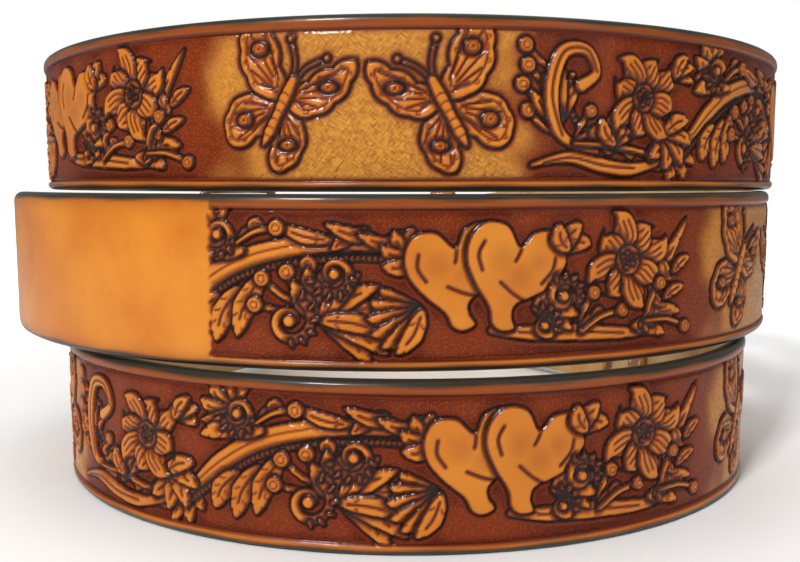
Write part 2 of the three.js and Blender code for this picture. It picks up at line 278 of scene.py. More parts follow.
@dataclass(frozen=True)
class CarvedLeather:
    """Vegetable-tanned cowhide, carved, stamped, dyed, antiqued and lacquered.

    The lacquer gives a wet gloss over the raised work. Antique paste stays dark in every cut, and
    the stamped ground is dyed a deep red brown. The edge is painted almost black.
    """

    name: str = "carved_veg_tan_leather"
    light: str = "#E08C28"
    warm: str = "#BC5F0E"
    ground: str = "#561000"
    ground_open: str = "#983A02"
    ground_pit: str = "#220500"
    # Golden brushed ground; the colour is lightened a little as painted reflection of the lacquer's sheen.
    hatched: str = "#DD983A"
    hatch_line: str = "#9A5416"
    # Brown stain colour; it also colours the painted shade on the upper rim and round the raised work.
    stain_and_shade: str = "#7E2C04"
    antique: str = "#120602"
    edge: str = "#2C2B22"
    pebble: float = 0.7  # mm between stamp marks
    hatch: float = 0.3  # mm across one brushed line
    grain: float = 0.5  # mm, pores of the grain side

    def build(self) -> bpy.types.Material:
        """Returns the material."""
        s = Shader(self.name)
        flat = s.add("ShaderNodeAttribute", attribute_name="flat").outputs["Vector"]
        tooling = s.add("ShaderNodeAttribute", attribute_name="tooling")
        split = s.add("ShaderNodeSeparateColor", {0: tooling.outputs["Color"]})
        dye_and_shade, ground, hatched = split.outputs
        edge = tooling.outputs["Alpha"]
        place = s.add("ShaderNodeTexCoord").outputs["Object"]

        patches = s.add("ShaderNodeTexNoise", {"Vector": place, "Scale": 38.0, "Detail": 5.0})
        tone = s.ramp(patches.outputs[0], 0.0, 0.8)
        streaks = s.add("ShaderNodeTexNoise", {"Vector": place, "Scale": 190.0, "Detail": 4.0})
        raised = s.mix(tone, linear(self.warm), linear(self.light))
        streaked = s.math("MULTIPLY", s.ramp(streaks.outputs[0], 0.5, 0.75), 0.18)
        raised = s.mix(streaked, raised, linear(self.warm))

        pebble = s.add("ShaderNodeTexVoronoi", {"Vector": flat, "Scale": 1 / self.pebble, "Randomness": 0.8})
        pit = s.ramp(pebble.outputs["Distance"], 0.2, 0.55)
        depth = s.ramp(ground, 0.6, 1.0)
        matted = s.mix(depth, linear(self.ground_open), linear(self.ground))
        pitted = s.math("MULTIPLY", pit, s.math("ADD", 0.45, s.math("MULTIPLY", depth, 0.35)))
        stamped = s.mix(pitted, matted, linear(self.ground_pit))

        strokes = []
        for turn in (35, -50):
            turned = s.add("ShaderNodeMapping", {"Vector": flat, "Rotation": (0, 0, math.radians(turn))})
            stretch = (0.3, 1 / self.hatch, 1.0)
            drawn = s.add("ShaderNodeMapping", {"Vector": turned.outputs[0], "Scale": stretch})
            noise = {"Vector": drawn.outputs[0], "Scale": 1.6, "Detail": 3.0}
            strokes.append(s.add("ShaderNodeTexNoise", noise).outputs[0])
        cross = s.ramp(s.math("MINIMUM", *strokes), 0.3, 0.52)
        crossed = s.mix(cross, linear(self.hatch_line), linear(self.hatched))

        colour = s.mix(s.ramp(ground, 0.05, 0.5), raised, stamped)
        colour = s.mix(hatched, colour, crossed)
        # Stain, and painted shade: this channel also darkens the upper rim and the ground round raised
        # shapes.
        colour = s.mix(s.math("MULTIPLY", s.ramp(dye_and_shade, 0.02, 0.62), 0.92), colour, linear(self.stain_and_shade))
        colour = s.mix(s.ramp(dye_and_shade, 0.45, 1.05), colour, linear(self.antique))
        colour = s.mix(edge, colour, linear(self.edge))

        grain = s.add("ShaderNodeTexNoise", {"Vector": flat, "Scale": 1 / self.grain, "Detail": 3.0})
        height = s.math("MULTIPLY", grain.outputs[0], 0.10)
        height = s.math("ADD", height, s.math("MULTIPLY", s.math("MULTIPLY", pit, ground), 0.55))
        height = s.math("ADD", height, s.math("MULTIPLY", s.math("MULTIPLY", cross, hatched), 0.35))
        bump = s.add("ShaderNodeBump", {"Height": height, "Distance": 0.45 * MM, "Strength": 0.8})
        rough = s.math("ADD", 0.30, s.math("MULTIPLY", ground, 0.16))
        rough = s.math("ADD", rough, s.math("MULTIPLY", streaks.outputs[0], 0.08))
        s.surface(Base_Color=colour, Roughness=rough, Normal=bump.outputs[0])
        shine = s.math("SUBTRACT", 0.22, s.math("MULTIPLY", ground, 0.14))
        s.surface(IOR=1.5, Specular_IOR_Level=shine, Coat_Weight=0.2, Coat_Roughness=0.09)
        return s.material


@dataclass(frozen=True)
class PlainLeather:
    """Leather left plain: grain side or flesh side, as its colours and roughness say."""

    name: str
    light: str
    dark: str
    roughness: float
    fibre: float  # mm, size of the grain or nap
    depth: float  # mm
    gloss: float = 0.0

    def build(self) -> bpy.types.Material:
        """Returns the material."""
        s = Shader(self.name)
        place = s.add("ShaderNodeTexCoord").outputs["Object"]
        patches = s.add("ShaderNodeTexNoise", {"Vector": place, "Scale": 45.0, "Detail": 6.0})
        nap = s.add("ShaderNodeTexNoise", {"Vector": place, "Scale": 1 / (self.fibre * MM), "Detail": 4.0})
        share = s.math("MULTIPLY", s.math("ADD", patches.outputs[0], nap.outputs[0]), 0.5)
        colour = s.mix(s.ramp(share, 0.35, 0.65), linear(self.dark), linear(self.light))
        relief = {"Height": nap.outputs[0], "Distance": self.depth * MM, "Strength": 0.7}
        bump = s.add("ShaderNodeBump", relief)
        rough = s.math("ADD", self.roughness - 0.08, s.math("MULTIPLY", patches.outputs[0], 0.16))
        s.surface(Base_Color=colour, Roughness=rough, Normal=bump.outputs[0], Coat_Weight=self.gloss)
        return s.material


@dataclass(frozen=True)
class NickelPlate:
    """Nickel plate over cast zinc or pressed brass: warm grey, with wear scratches."""

    name: str
    light: str
    dark: str
    roughness: float
    scratch: float = 0.35  # mm between scratches

    def build(self) -> bpy.types.Material:
        """Returns the material."""
        s = Shader(self.name)
        place = s.add("ShaderNodeTexCoord").outputs["Object"]
        cloud = s.add("ShaderNodeTexNoise", {"Vector": place, "Scale": 120.0, "Detail": 5.0})
        stretched = s.add("ShaderNodeMapping", {"Vector": place, "Scale": (1, 1, 12)})
        scratches = s.add(
            "ShaderNodeTexNoise",
            {"Vector": stretched.outputs[0], "Scale": 1 / (self.scratch * MM * 6), "Detail": 6.0},
        )
        colour = s.mix(s.ramp(cloud.outputs[0], 0.35, 0.65), linear(self.dark), linear(self.light))
        relief = {"Height": scratches.outputs[0], "Distance": 0.03 * MM, "Strength": 0.5}
        bump = s.add("ShaderNodeBump", relief)
        rough = s.math("ADD", self.roughness - 0.05, s.math("MULTIPLY", cloud.outputs[0], 0.14))
        s.surface(Base_Color=colour, Metallic=1.0, Roughness=rough, Normal=bump.outputs[0])
        return s.material


# ---- The carved pattern, laid out flat ---------------------------------------------------


def loop(points: Sequence, per: int = 6) -> np.ndarray:
    """Draws a smooth closed line through points."""
    p = np.asarray(points, dtype=float)
    t = np.linspace(0, 1, per, endpoint=False)[:, None]
    a, b, c, d = (np.roll(p, shift, axis=0)[:, None, :] for shift in (1, 0, -1, -2))
    return spline(a, b, c, d, t).reshape(-1, 2)


def scalloped(points: np.ndarray, bulge: float, per: int = 6) -> np.ndarray:
    """Joins corners with outward bows, so the outline is scalloped."""
    after = np.roll(points, -1, axis=0)
    twice = np.sum(points[:, 0] * after[:, 1] - after[:, 0] * points[:, 1])
    outward = np.stack([after[:, 1] - points[:, 1], points[:, 0] - after[:, 0]], axis=1) * np.sign(twice)
    t = np.linspace(0, 1, per, endpoint=False)[None, :, None]
    line = points[:, None] * (1 - t) + after[:, None] * t + outward[:, None] * bulge * 4 * t * (1 - t)
    return line.reshape(-1, 2)


def placed(at: Sequence, turn: float) -> Callable:
    """Returns what turns and moves a place of a motif onto the map."""
    c, s = math.cos(math.radians(turn)), math.sin(math.radians(turn))
    return lambda x, y: (at[0] + x * c - y * s, at[1] + x * s + y * c)


@dataclass
class Carving:
    """One repeat of the pattern as a relief map: u runs along the strap and v up it."""

    repeat: float = 292.0
    half: float = 22.25
    step: float = 0.25
    level: float = -0.75  # stamped ground, below the strap's face
    bevel: float = 1.5  # how far a cut's slope reaches
    reach: float = 7.0  # how far the dark round a shape fades out: antique in the cut, painted shade on the ground beyond it
    stained: float = 0.14  # how far the stain has toned down the raised work
    upper_rim_painted_shade: float = 0.5  # how much darker the upper rim is painted: painted shade
    rng: np.random.Generator = field(default_factory=lambda: np.random.default_rng(7))

    def __post_init__(self) -> None:
        """Lays down the bare stamped ground."""
        self.u = np.arange(0, self.repeat, self.step)
        self.v = np.arange(-self.half, self.half + self.step, self.step)
        shape = (len(self.u), len(self.v))
        self.height = np.full(shape, self.level)
        self.dye_and_shade = np.zeros(shape)
        self.ground = np.ones(shape)

    def windows(self, low: np.ndarray, high: np.ndarray) -> list:
        """Finds the parts of the map that a shape may touch, once for each side of the seam."""
        found = []
        for shift in (-self.repeat, 0, self.repeat):
            i0, i1 = np.searchsorted(self.u, [low[0] + shift, high[0] + shift])
            j0, j1 = np.searchsorted(self.v, [low[1], high[1]])
            if i1 > i0 and j1 > j0:
                part = (slice(i0, i1), slice(j0, j1))
                grid = np.meshgrid(self.u[part[0]] - shift, self.v[part[1]], indexing="ij")
                found.append((part, np.stack(grid, axis=-1)))
        return found

    @staticmethod
    def to_line(at: np.ndarray, line: np.ndarray, widths: np.ndarray) -> np.ndarray:
        """Signed distance to a stroke whose half width changes along it."""
        best = np.full(at.shape[:2], 1e9)
        for k in range(len(line) - 1):
            a, ab = line[k], line[k + 1] - line[k]
            t = np.clip(((at - a) @ ab) / max(ab @ ab, 1e-9), 0, 1)
            gone = np.linalg.norm(at - a - t[..., None] * ab, axis=-1)
            best = np.minimum(best, gone - (widths[k] + (widths[k + 1] - widths[k]) * t))
        return best

    def paint(self, part: tuple, gone: np.ndarray, top: float, round_over: float, cut: float = 0.9) -> None:
        """Raises one shape: a dark cut round it with painted shade on the ground beyond, a slope down
        outside, a rounded top inside.

        Args:
            part: Where on the map.
            gone: Signed distance to the shape, below 0 inside.
            top: Height of the shape's middle.
            round_over: How far from its outline it is still rounding over.
            cut: Strength of the dark cut round it and of the painted shade beyond it.
        """
        h, dye_and_shade, ground = self.height[part], self.dye_and_shade[part], self.ground[part]
        inside = gone < 0
        slope = self.level - 0.55 * (1 - smooth(gone / self.bevel))
        near = (~inside) & (gone < self.bevel)
        round_about = (~inside) & (gone < self.reach)
        h[near] = np.minimum(h, slope)[near]
        away = np.maximum(gone, 0)
        # Darkening round the shape: antique in the cut itself, and painted shade on the ground further out.
        shadow = 1.1 * cut * np.exp(-np.square(away / 0.85)) + 0.42 * cut * np.exp(-away / 2.4)
        dye_and_shade[round_about] = np.maximum(dye_and_shade, np.minimum(shadow, 1))[round_about]
        crown = self.level * 0.7 + (top - self.level * 0.7) * np.sqrt(
            1 - np.square(1 - np.clip(-gone / round_over, 0, 1))
        )
        h[inside] = crown[inside]
        edge = 0.7 * np.exp(-np.square(gone / 0.3)) + 0.26 * np.exp(-np.square(gone / min(1.2, round_over)))
        dye_and_shade[inside] = np.maximum(cut * np.minimum(edge, 1), self.stained)[inside]
        ground[inside] = 0

    def stroke(
        self, points: Sequence, widths: Sequence, top: float = 0.0, over: float = 1.4, cut: float = 0.9
    ) -> None:
        """Raises a stem, scroll or leaf along a smooth line."""
        line = curve(points)
        spread = np.interp(np.linspace(0, 1, len(line)), np.linspace(0, 1, len(widths)), widths)
        pad = max(widths) + self.reach
        for part, at in self.windows(line.min(0) - pad, line.max(0) + pad):
            self.paint(part, self.to_line(at, line, spread), top, over, cut)

    def patch(self, outline: Sequence, top: float = 0.0, over: float = 1.6, rounded: bool = True) -> None:
        """Raises a closed shape.

        Args:
            outline: Its corners in order.
            top: Height of its middle.
            over: How far in it rounds over.
            rounded: Whether to pass smoothly through the corners.
        """
        ring = loop(outline) if rounded else np.asarray(outline, dtype=float)
        closed = np.vstack([ring, ring[:1]])
        pad = self.reach
        for part, at in self.windows(ring.min(0) - pad, ring.max(0) + pad):
            gone = self.to_line(at, closed, np.zeros(len(closed)))
            inside = np.zeros(gone.shape, dtype=bool)
            for p, q in zip(closed[:-1], closed[1:]):
                if p[1] != q[1]:
                    level = p[0] + (at[..., 1] - p[1]) / (q[1] - p[1]) * (q[0] - p[0])
                    inside ^= ((p[1] > at[..., 1]) != (q[1] > at[..., 1])) & (at[..., 0] < level)
            self.paint(part, np.where(inside, -gone, gone), top, over)

    def oval(
        self,
        at: Sequence,
        radii: Sequence,
        turn: float = 0,
        top: float = 0.0,
        over: float = 1.4,
        frill: float = 0,
        lobes: int = 7,
    ) -> None:
        """Raises an oval, plain or with a frilled outline.

        Args:
            at: Its centre.
            radii: Half its length and half its width.
            turn: Degrees that its length is turned from the strap's.
            top: Height of its middle.
            over: How far in it rounds over.
            frill: Depth of the frill as a share of its size.
            lobes: Waves round the frill.
        """
        centre, pad = np.array(at, dtype=float), max(radii) * (1 + frill) + self.reach
        for part, grid in self.windows(centre - pad, centre + pad):
            rel = grid - centre
            c, s = math.cos(math.radians(turn)), math.sin(math.radians(turn))
            x, y = rel[..., 0] * c + rel[..., 1] * s, rel[..., 1] * c - rel[..., 0] * s
            size = np.hypot(x / radii[0], y / radii[1]) / (1 + frill * np.cos(lobes * np.arctan2(y, x)))
            self.paint(part, (size - 1) * min(radii), top, over)

    def groove(self, points: Sequence, width: float = 0.45, depth: float = 0.45, dark: float = 0.85) -> None:
        """Cuts a line into what is already raised."""
        line = curve(points, 6)
        pad = width + 2.0
        for part, at in self.windows(line.min(0) - pad, line.max(0) + pad):
            gone = self.to_line(at, line, np.zeros(len(line)))
            press = np.exp(-np.square(gone / width))
            self.height[part] -= depth * press
            self.dye_and_shade[part] = np.maximum(self.dye_and_shade[part], dark * press)

    def shade(self, at: Sequence, radius: float, dark: float, sink: float = 0.4) -> None:
        """Sinks and darkens a round hollow, as a shading stamp does."""
        centre = np.array(at, dtype=float)
        for part, grid in self.windows(centre - 2 * radius, centre + 2 * radius):
            press = np.exp(-np.square(np.linalg.norm(grid - centre, axis=-1) / radius))
            self.height[part] -= sink * press
            self.dye_and_shade[part] = np.maximum(self.dye_and_shade[part], dark * press)

    def beads(self, points: Sequence, radius: float, gap: float = 1.0) -> None:
        """Sets a row of beads along a line."""
        line = curve(points, 10)
        run = np.concatenate([[0], np.cumsum(np.linalg.norm(np.diff(line, axis=0), axis=1))])
        for s in np.arange(radius, run[-1], 2 * radius * gap):
            centre = (np.interp(s, run, line[:, 0]), np.interp(s, run, line[:, 1]))
            self.oval(centre, (radius, radius), top=-0.1, over=radius)

    # -- motifs --

    def knob(self, u: float, v: float, radius: float = 2.2) -> None:
        """A round seed with a sunk middle."""
        self.oval((u, v), (radius, radius), over=1.2)
        self.ring((u, v), radius * 0.45, 0.3)

    def ring(self, at: Sequence, radius: float, width: float = 0.3) -> None:
        """Presses a small circle."""
        turn = np.linspace(0, math.tau, 9)
        around = np.stack([at[0] + radius * np.cos(turn), at[1] + radius * np.sin(turn)], axis=1)
        self.groove(around.tolist(), width, 0.3, 0.7)

    def tendril(self, root: tuple, end: tuple, bow: float = 1.2, ball: float = 1.8) -> None:
        """A thin bowed stem that ends in a ball."""
        a, b = np.array(root, dtype=float), np.array(end, dtype=float)
        side = np.array([a[1] - b[1], b[0] - a[0]]) / max(np.linalg.norm(b - a), 1e-6)
        self.stroke([a, (a + b) / 2 + side * bow, b], [0.5, 0.7, 0.8], over=0.8)
        self.knob(*end, ball)

    def leaf(self, root: tuple, tip: tuple, width: float, bow: float = 0.0, veins: int = 4) -> None:
        """A pointed leaf with a mid rib and side veins.

        Args:
            root: Where it grows from.
            tip: Its point.
            width: Its greatest half width.
            bow: How far its middle bows sideways.
            veins: Side veins on each side.
        """
        a, b = np.array(root, dtype=float), np.array(tip, dtype=float)
        side = np.array([a[1] - b[1], b[0] - a[0]]) / max(np.linalg.norm(b - a), 1e-6)
        mid = (a + b) / 2 + side * bow
        self.stroke([a, mid, b], [width * 0.35, width * 0.85, width, width * 0.7, 0.1], over=0.8)
        rib = curve([a, mid, b])
        self.groove(rib[2:-3:3].tolist(), 0.42, 0.5, 0.95)
        for k in range(veins):
            t = int((0.2 + 0.55 * k / max(veins - 1, 1)) * len(rib))
            ahead = rib[min(t + 3, len(rib) - 1)] - rib[t]
            ahead = ahead / max(np.linalg.norm(ahead), 1e-6)
            across = np.array([-ahead[1], ahead[0]])
            for way in (-1, 1):
                end = rib[t] + ahead * width * 0.7 + way * across * width * 0.72
                self.groove([(rib[t] + end) / 2, (rib[t] + end * 2) / 3 + ahead * 0.3, end], 0.3, 0.3, 0.8)

    def fan(
        self, root: tuple, reach: float, start: float, sweep: float, count: int, width: float = 2.0
    ) -> None:
        """A spray of pointed leaflets out of one root."""
        for k in range(count):
            a = math.radians(start + sweep * k / max(count - 1, 1))
            far = reach * (0.82 + 0.18 * math.sin(math.pi * (k + 0.5) / count))
            self.leaf(root, (root[0] + far * math.cos(a), root[1] + far * math.sin(a)), width, 1.1, 2)

    def spiral(
        self, u: float, v: float, size: float, start: float, turns: float, way: int = 1, roped: bool = True
    ) -> None:
        """A curl that winds in to a ball, with a rope edge if wanted.

        Args:
            u: Centre along the strap.
            v: Centre up the strap.
            size: Radius at its outer end.
            start: Angle of its outer end, in degrees.
            turns: How many turns it winds.
            way: 1 to wind anticlockwise, -1 clockwise.
            roped: Whether it has a row of beads outside.
        """
        t = np.linspace(0, 1, int(10 * turns) + 4)
        angle = math.radians(start) + way * t * turns * math.tau
        radius = size * (1 - 0.74 * t)
        line = np.stack([u + radius * np.cos(angle), v + radius * np.sin(angle)], axis=1)
        self.stroke(line, [size * 0.15, size * 0.19, size * 0.15, size * 0.11], over=0.8)
        if roped:
            for k in range(0, int(0.45 * len(t)), 1):
                ray = np.array([math.cos(angle[k] - way * 0.28), math.sin(angle[k] - way * 0.28)])
                foot = line[k] + ray * size * 0.1
                self.stroke([foot, foot + ray * size * 0.24], [0.5, 0.3], over=0.5)
        self.oval((u, v), (size * 0.26, size * 0.26), over=1.0)

    def petal(self, root: tuple, angle: float, reach: float, width: float, curl: float) -> None:
        """A pointed petal whose tip curls to one side, with cut folds."""
        shape = ((0.1, -0.25), (0.42, -0.85), (0.72, -0.8), (0.93, -0.25), (1.0, curl))
        shape += ((0.86, 0.7), (0.6, 0.95), (0.3, 0.65), (0.08, 0.2))
        put = placed(root, angle)
        self.patch([put(x * reach, y * width) for x, y in shape], over=0.9)
        for sway in (-0.5, 0.0, 0.5):
            line = [(0.22, sway * 0.3), (0.5, sway * 0.9), (0.78, sway * 0.9 + curl * 0.3)]
            self.groove([put(x * reach, y * width) for x, y in line], 0.36, 0.4, 0.92)
        self.shade(put(reach * 0.3, 0), width * 0.42, 0.7)

    def flower(self, u: float, v: float, size: float, petals: int, turn: float) -> None:
        """An open flower: pointed curled petals round a dark seeded centre."""
        for k in range(petals):
            reach = size * (1.0 - 0.16 * (k % 2))
            self.petal(
                (u, v),
                turn + 360 * k / petals + 6 * math.sin(3.1 * k),
                reach,
                size * 0.27,
                0.9 - 1.5 * (k % 2),
            )
        self.oval((u, v), (size * 0.27, size * 0.27), over=1.6)
        self.shade((u, v), size * 0.2, 0.7)
        for k in range(10):
            a, r = 2.4 * k, size * 0.058 * math.sqrt(k)
            self.oval((u + r * math.cos(a), v + r * math.sin(a)), (0.5, 0.5), top=0.05, over=0.5)

    def heart(self, u: float, v: float, size: float, turn: float) -> None:
        """A plump heart-shaped leaf on a blunt bent tail, with cut marks and a dark middle."""
        put = placed((u, v), turn)
        shape = [
            (0.02, 0.42), (0.3, 0.78), (0.74, 0.86), (1.08, 0.6), (1.16, 0.14), (0.94, -0.3), (0.5, -0.62)
        ]
        shape += [(0.14, -0.84), (0.1, -1.1), (0.2, -1.36), (-0.1, -1.46), (-0.34, -1.32), (-0.46, -0.98)]
        shape += [(-0.86, -0.52), (-1.14, -0.04), (-1.14, 0.46), (-0.84, 0.84), (-0.34, 0.82)]
        self.patch([put(x * size, y * size) for x, y in shape], over=1.1)
        for at, wide in (((-0.35, 0.12), 0.42), ((0.12, -0.2), 0.4), ((0.5, 0.15), 0.3)):
            self.shade(put(at[0] * size, at[1] * size), 1.25 * wide * size, 0.27, 0.08)
        marks = [[(-0.82, 0.42), (-0.9, 0.12), (-0.76, -0.2)], [(0.88, 0.3), (0.86, 0.02), (0.66, -0.3)]]
        marks += [[(0.04, 0.36), (0.0, 0.2), (-0.04, 0.1)], [(0.3, -0.72), (0.02, -0.6), (-0.3, -0.4)]]
        for line in marks:
            self.groove([put(x * size, y * size) for x, y in line], 0.55, 0.55, 0.98)

    def wing(self, put: Callable, outline: Sequence, eye: tuple, flat: float) -> None:
        """A butterfly's wing: a scalloped rim, an inner line, dark drops and an eye spot.

        Args:
            put: Turns the butterfly's own places into the map's.
            outline: Corners, the root first.
            eye: Where its eye spot is.
            flat: Share of its full spread that shows; below 0 for the other side.
        """
        ring = np.array([put(x, y * flat) for x, y in outline])
        middle = ring.mean(axis=0)
        self.patch(scalloped(ring, 0.16), over=0.9, rounded=False)
        inner = middle + (ring - middle) * 0.76
        self.groove([*inner.tolist(), inner[0].tolist()], 0.36, 0.4, 0.8)
        spot = np.array(put(eye[0], eye[1] * flat))
        for k in range(2, len(ring)):
            rim = middle + (ring[k] - middle) * 0.68
            self.groove(
                [ring[0] + (rim - ring[0]) * 0.3, ring[0] + (rim - ring[0]) * 0.62, rim], 0.42, 0.5, 0.95
            )
            between = (ring[k - 1] + ring[k]) / 2
            self.ring(middle + (between - middle) * 0.9, 0.5)
        self.oval(spot, (2.1, 2.1 * max(abs(flat), 0.6)), over=1.0)
        self.ring(spot, 1.25, 0.34)
        self.shade(spot, 0.6, 0.9)

    def butterfly(self, u: float, v: float, turn: float, size: float, sides: tuple) -> None:
        """A butterfly: its wings first, then body and feelers over them."""
        place = placed((u, v), turn)

        def put(x: float, y: float) -> tuple:
            return place(x * size, y * size)

        hind = ((-1, 0.6), (-1.5, 6), (-3, 11.5), (-7.5, 13.5), (-12, 12), (-14, 7.5), (-9.5, 3.2))
        fore = ((1.5, 0.6), (6.5, 5.5), (11.5, 11), (15.5, 17), (11, 18.8), (5.5, 17), (1.2, 12.5), (-0.8, 6))
        for flat in sides:
            self.wing(put, hind, (-7.5, 8.2), flat)
            self.wing(put, fore, (7.8, 12.6), flat)
        for way in (-1, 1):
            self.stroke(
                [put(5, 0.3 * way), put(9, 1.4 * way), put(13, 4.6 * way)],
                [0.35, 0.35, 0.4],
                top=-0.1,
                over=0.5,
            )
            self.oval(put(13, 4.6 * way), (0.8, 0.8), over=0.7)
        self.stroke([put(-10, 0), put(-3, 0), put(5.5, 0)], [0.5, 1.5, 1.3, 1.6, 1.2], top=0.1, over=1.3)
        for k in range(6):
            x = -8 + 2.0 * k
            self.groove([put(x, -1.1), put(x + 0.3, 0), put(x, 1.1)], 0.3, 0.3, 0.7)

    def compose(self) -> None:
        """Lays the motifs out along one repeat, back to front."""
        self.vine()
        self.hearts_and_bloom()
        fly = 1.18
        self.butterfly(203, 0.5, 62, fly, (0.82, -0.62))
        self.butterfly(245, 0, 118, fly, (0.62, -0.86))
        self.scrolls()

    def vine(self) -> None:
        """A climbing stem with leaves, curls and balls."""
        self.fan((22, -9), 11, 190, 170, 6, 2.4)
        self.fan((40, 12), 10, 60, 170, 6, 2.2)
        self.stroke(
            [(20, -14), (28, -9), (37, -1), (48, 5.6), (60, 9), (74, 10.4), (90, 9)],
            [0.9, 1.9, 2.6, 2.7, 2.4, 2.0, 0.8],
        )
        self.beads([(24, -14.5), (37, -5.2), (48, 1.6), (60, 5.2), (74, 6.6), (86, 6.4)], 0.72)
        self.groove([(26, -10), (37, -0.6), (48, 6), (60, 9.4), (72, 10.8)], 0.36, 0.35, 0.7)
        self.leaf((48, 8), (30.5, 5.5), 3.0, -1.4, 4)
        for u, v, w in ((38, -4, 9.5), (44, -2, 13.5), (50, 1, 15)):
            self.leaf((u + 3, v), (u - 3.5, v - w), 3.0, -1.2, 4)
        for k, (u, v) in enumerate(((66, 12), (78, 12.5), (86, 10))):
            self.leaf((u + 5, v - 1), (u - 8, v + 2.6), 1.9, 0.8, 2)
            self.leaf((u + 6, v - 3), (u + 15, v + 2 - 2 * k), 1.8, 0.6, 2)
        self.spiral(41.5, 12, 5.2, 200, 1.1)
        for end in ((52, 14.4), (57.5, 14.0)):
            self.tendril((47, 10), end, 1.0, 2.1)
        for end in ((53.5, 1.2), (60, 3.0), (65.5, 5), (51.5, -5.5)):
            self.tendril((66, -6), end, 1.0, 2.1)
        for start, sweep, count, reach in ((62, 66, 4, 14), (352, 60, 4, 17), (318, 30, 3, 19)):
            self.fan((69, -9), reach, start, sweep, count, 2.5)
        self.spiral(72, 2.6, 5.4, 200, 1.15)
        self.spiral(60.5, -9.4, 6.2, 60, 1.15, -1)
        self.leaf((82, -6), (90, -15.5), 2.0, 0.8, 2)

    def hearts_and_bloom(self) -> None:
        """Two heart leaves, the second flower and the tall leaf beyond it."""
        self.fan((94, -7), 14, 150, 90, 6, 2.6)
        self.fan((92, 6), 9, 90, 100, 4, 2.2)
        self.heart(103, 4.4, 11.2, 10)
        self.stroke(
            [(112, -12), (122, -13), (134, -13.5), (148, -14.5), (160, -15)], [0.8, 1.9, 2.2, 1.8, 0.7]
        )
        self.groove([(115, -12.2), (124, -13), (136, -13.4), (150, -14.6)], 0.4, 0.5, 0.95)
        self.fan((124, -7), 13, 330, 60, 4, 2.4)
        self.heart(118.5, 4.2, 11.6, -10)
        self.fan((132.5, 8), 7.5, 10, 100, 3, 2.4)
        self.spiral(132, -4.0, 5.4, 330, 1.15)
        self.spiral(126.5, -11.4, 4.4, 120, 1.1, -1)
        for end in ((141, -3.5), (142.5, -9), (150, -8.5)):
            self.tendril((137, -13.5), end, 1.2, 1.9)
        self.leaf((154, -13), (165, -16), 2.4, 1.0)
        self.leaf((157, -13), (171, -10), 2.6, 1.6, 3)
        self.leaf((158, -14.5), (173, 15.5), 1.7, 2.2, 2)
        for root, tip in (
            ((163, -8), (160, -1)), ((165, -6), (172, -3)), ((166.5, -1), (163.5, 5)), ((168, 1), (174, 5))
        ):
            self.leaf(root, tip, 1.6, 0.6, 1)
        self.flower(152, 4.6, 13.8, 8, 12)
        for end in ((163, -2), (173.5, -14.5)):
            self.tendril((158, -12), end, 1.2, 1.9)

    def scrolls(self) -> None:
        """Stamens, a broad curl and the first flower."""
        for end, root in (((266, 14.8), 8), ((266.5, 9.8), 3), ((265, 5), -2), ((266.5, -1.5), -8)):
            self.tendril((277, root), end, 1.4, 2.0)
        self.stroke(
            [(268, -15.5), (278, -13.5), (288, -15.5), (298, -16.5), (310, -14)], [0.5, 1.5, 2.0, 1.8, 0.6]
        )
        self.beads([(290, -8), (281.5, -5.5), (277.8, 1.5), (279, 8)], 0.75)
        self.fan((276, -4), 13, 60, 80, 4, 1.9)
        line = [(287, -12), (276, -8), (272.8, 2.5), (276, 13), (283, 14), (286, 8.5), (281.5, 5)]
        self.stroke(line, [0.6, 1.5, 2.0, 1.9, 1.5, 1.2, 1.7], over=0.8)
        self.groove(line[1:-1], 0.4, 0.5, 0.95)
        self.groove([(271, -15), (279, -13.6), (289, -15.6), (299, -16.2)], 0.4, 0.5, 0.95)
        for end in ((284.5, -1.5), (286, -7), (291, -11), (298, -12), (305.5, -12.5)):
            self.tendril((280, -10), end, 0.8, 1.8)
        self.fan((311, -6), 11, 230, 150, 5, 2.4)
        self.fan((292, -10), 9, 20, 100, 4, 2.0)
        self.flower(302.5, 2.6, 13.2, 8, 30)
        self.fan((314, 9), 8, 350, 60, 3, 2.0)

    def border(self) -> None:
        """Frames the work with one groove near each edge and a smooth rim outside it, and darkens the upper
        rim with painted shade.
        """
        top, bottom = self.half - 3.7, -self.half + 3.0
        v = self.v[None, :] * np.ones_like(self.height)
        rim = (v > top) | (v < bottom)
        self.height[rim] = 0
        self.ground[rim] = 0
        self.dye_and_shade[rim] = 0
        # Painted shade: the upper rim gets a darker colour, as if shaded, while the lower rim stays light.
        self.dye_and_shade[v > top] = self.upper_rim_painted_shade
        for line, inside in ((top, -1), (bottom, 1)):
            gone = (v - line) * inside
            press = np.exp(-np.square(gone / 0.5))
            self.height -= 0.55 * press
            slope = np.where(gone > 0, np.exp(-gone / 1.1), 0)
            self.dye_and_shade = np.maximum(self.dye_and_shade, np.maximum(0.92 * press, 0.55 * slope * self.ground))

    def build(self) -> "Carving":
        """Cuts the whole pattern and returns it."""
        self.compose()
        self.border()
        # The ground is darkest close against the work; round the butterflies it is brushed golden, in a
        # colour lightened a little as painted reflection.
        crowd = self.spread(1 - self.ground, 2.6)
        shy = 220.0 * self.spread(self.rng.standard_normal(self.height.shape), 4.0)
        near = smooth((self.u[:, None] + shy - 180) / 16) * (1 - smooth((self.u[:, None] + shy - 254) / 16))
        self.hatched = self.ground * near
        self.height += self.hatched * 0.25
        self.height += 0.05 * self.rng.standard_normal(self.height.shape) * self.ground
        self.ground = self.ground * (1 - near) * (0.6 + 0.4 * smooth((crowd - 0.08) / 0.62))
        return self

    def spread(self, values: np.ndarray, reach: float) -> np.ndarray:
        """Blurs a map.

        Args:
            values: The map.
            reach: How far it spreads, in mm.
        """
        across, up = (np.fft.fftfreq(n, self.step) for n in values.shape)
        soft = np.exp(-2 * (math.pi * reach) ** 2 * (across[:, None] ** 2 + up[None] ** 2))
        return np.fft.ifft2(np.fft.fft2(values) * soft).real

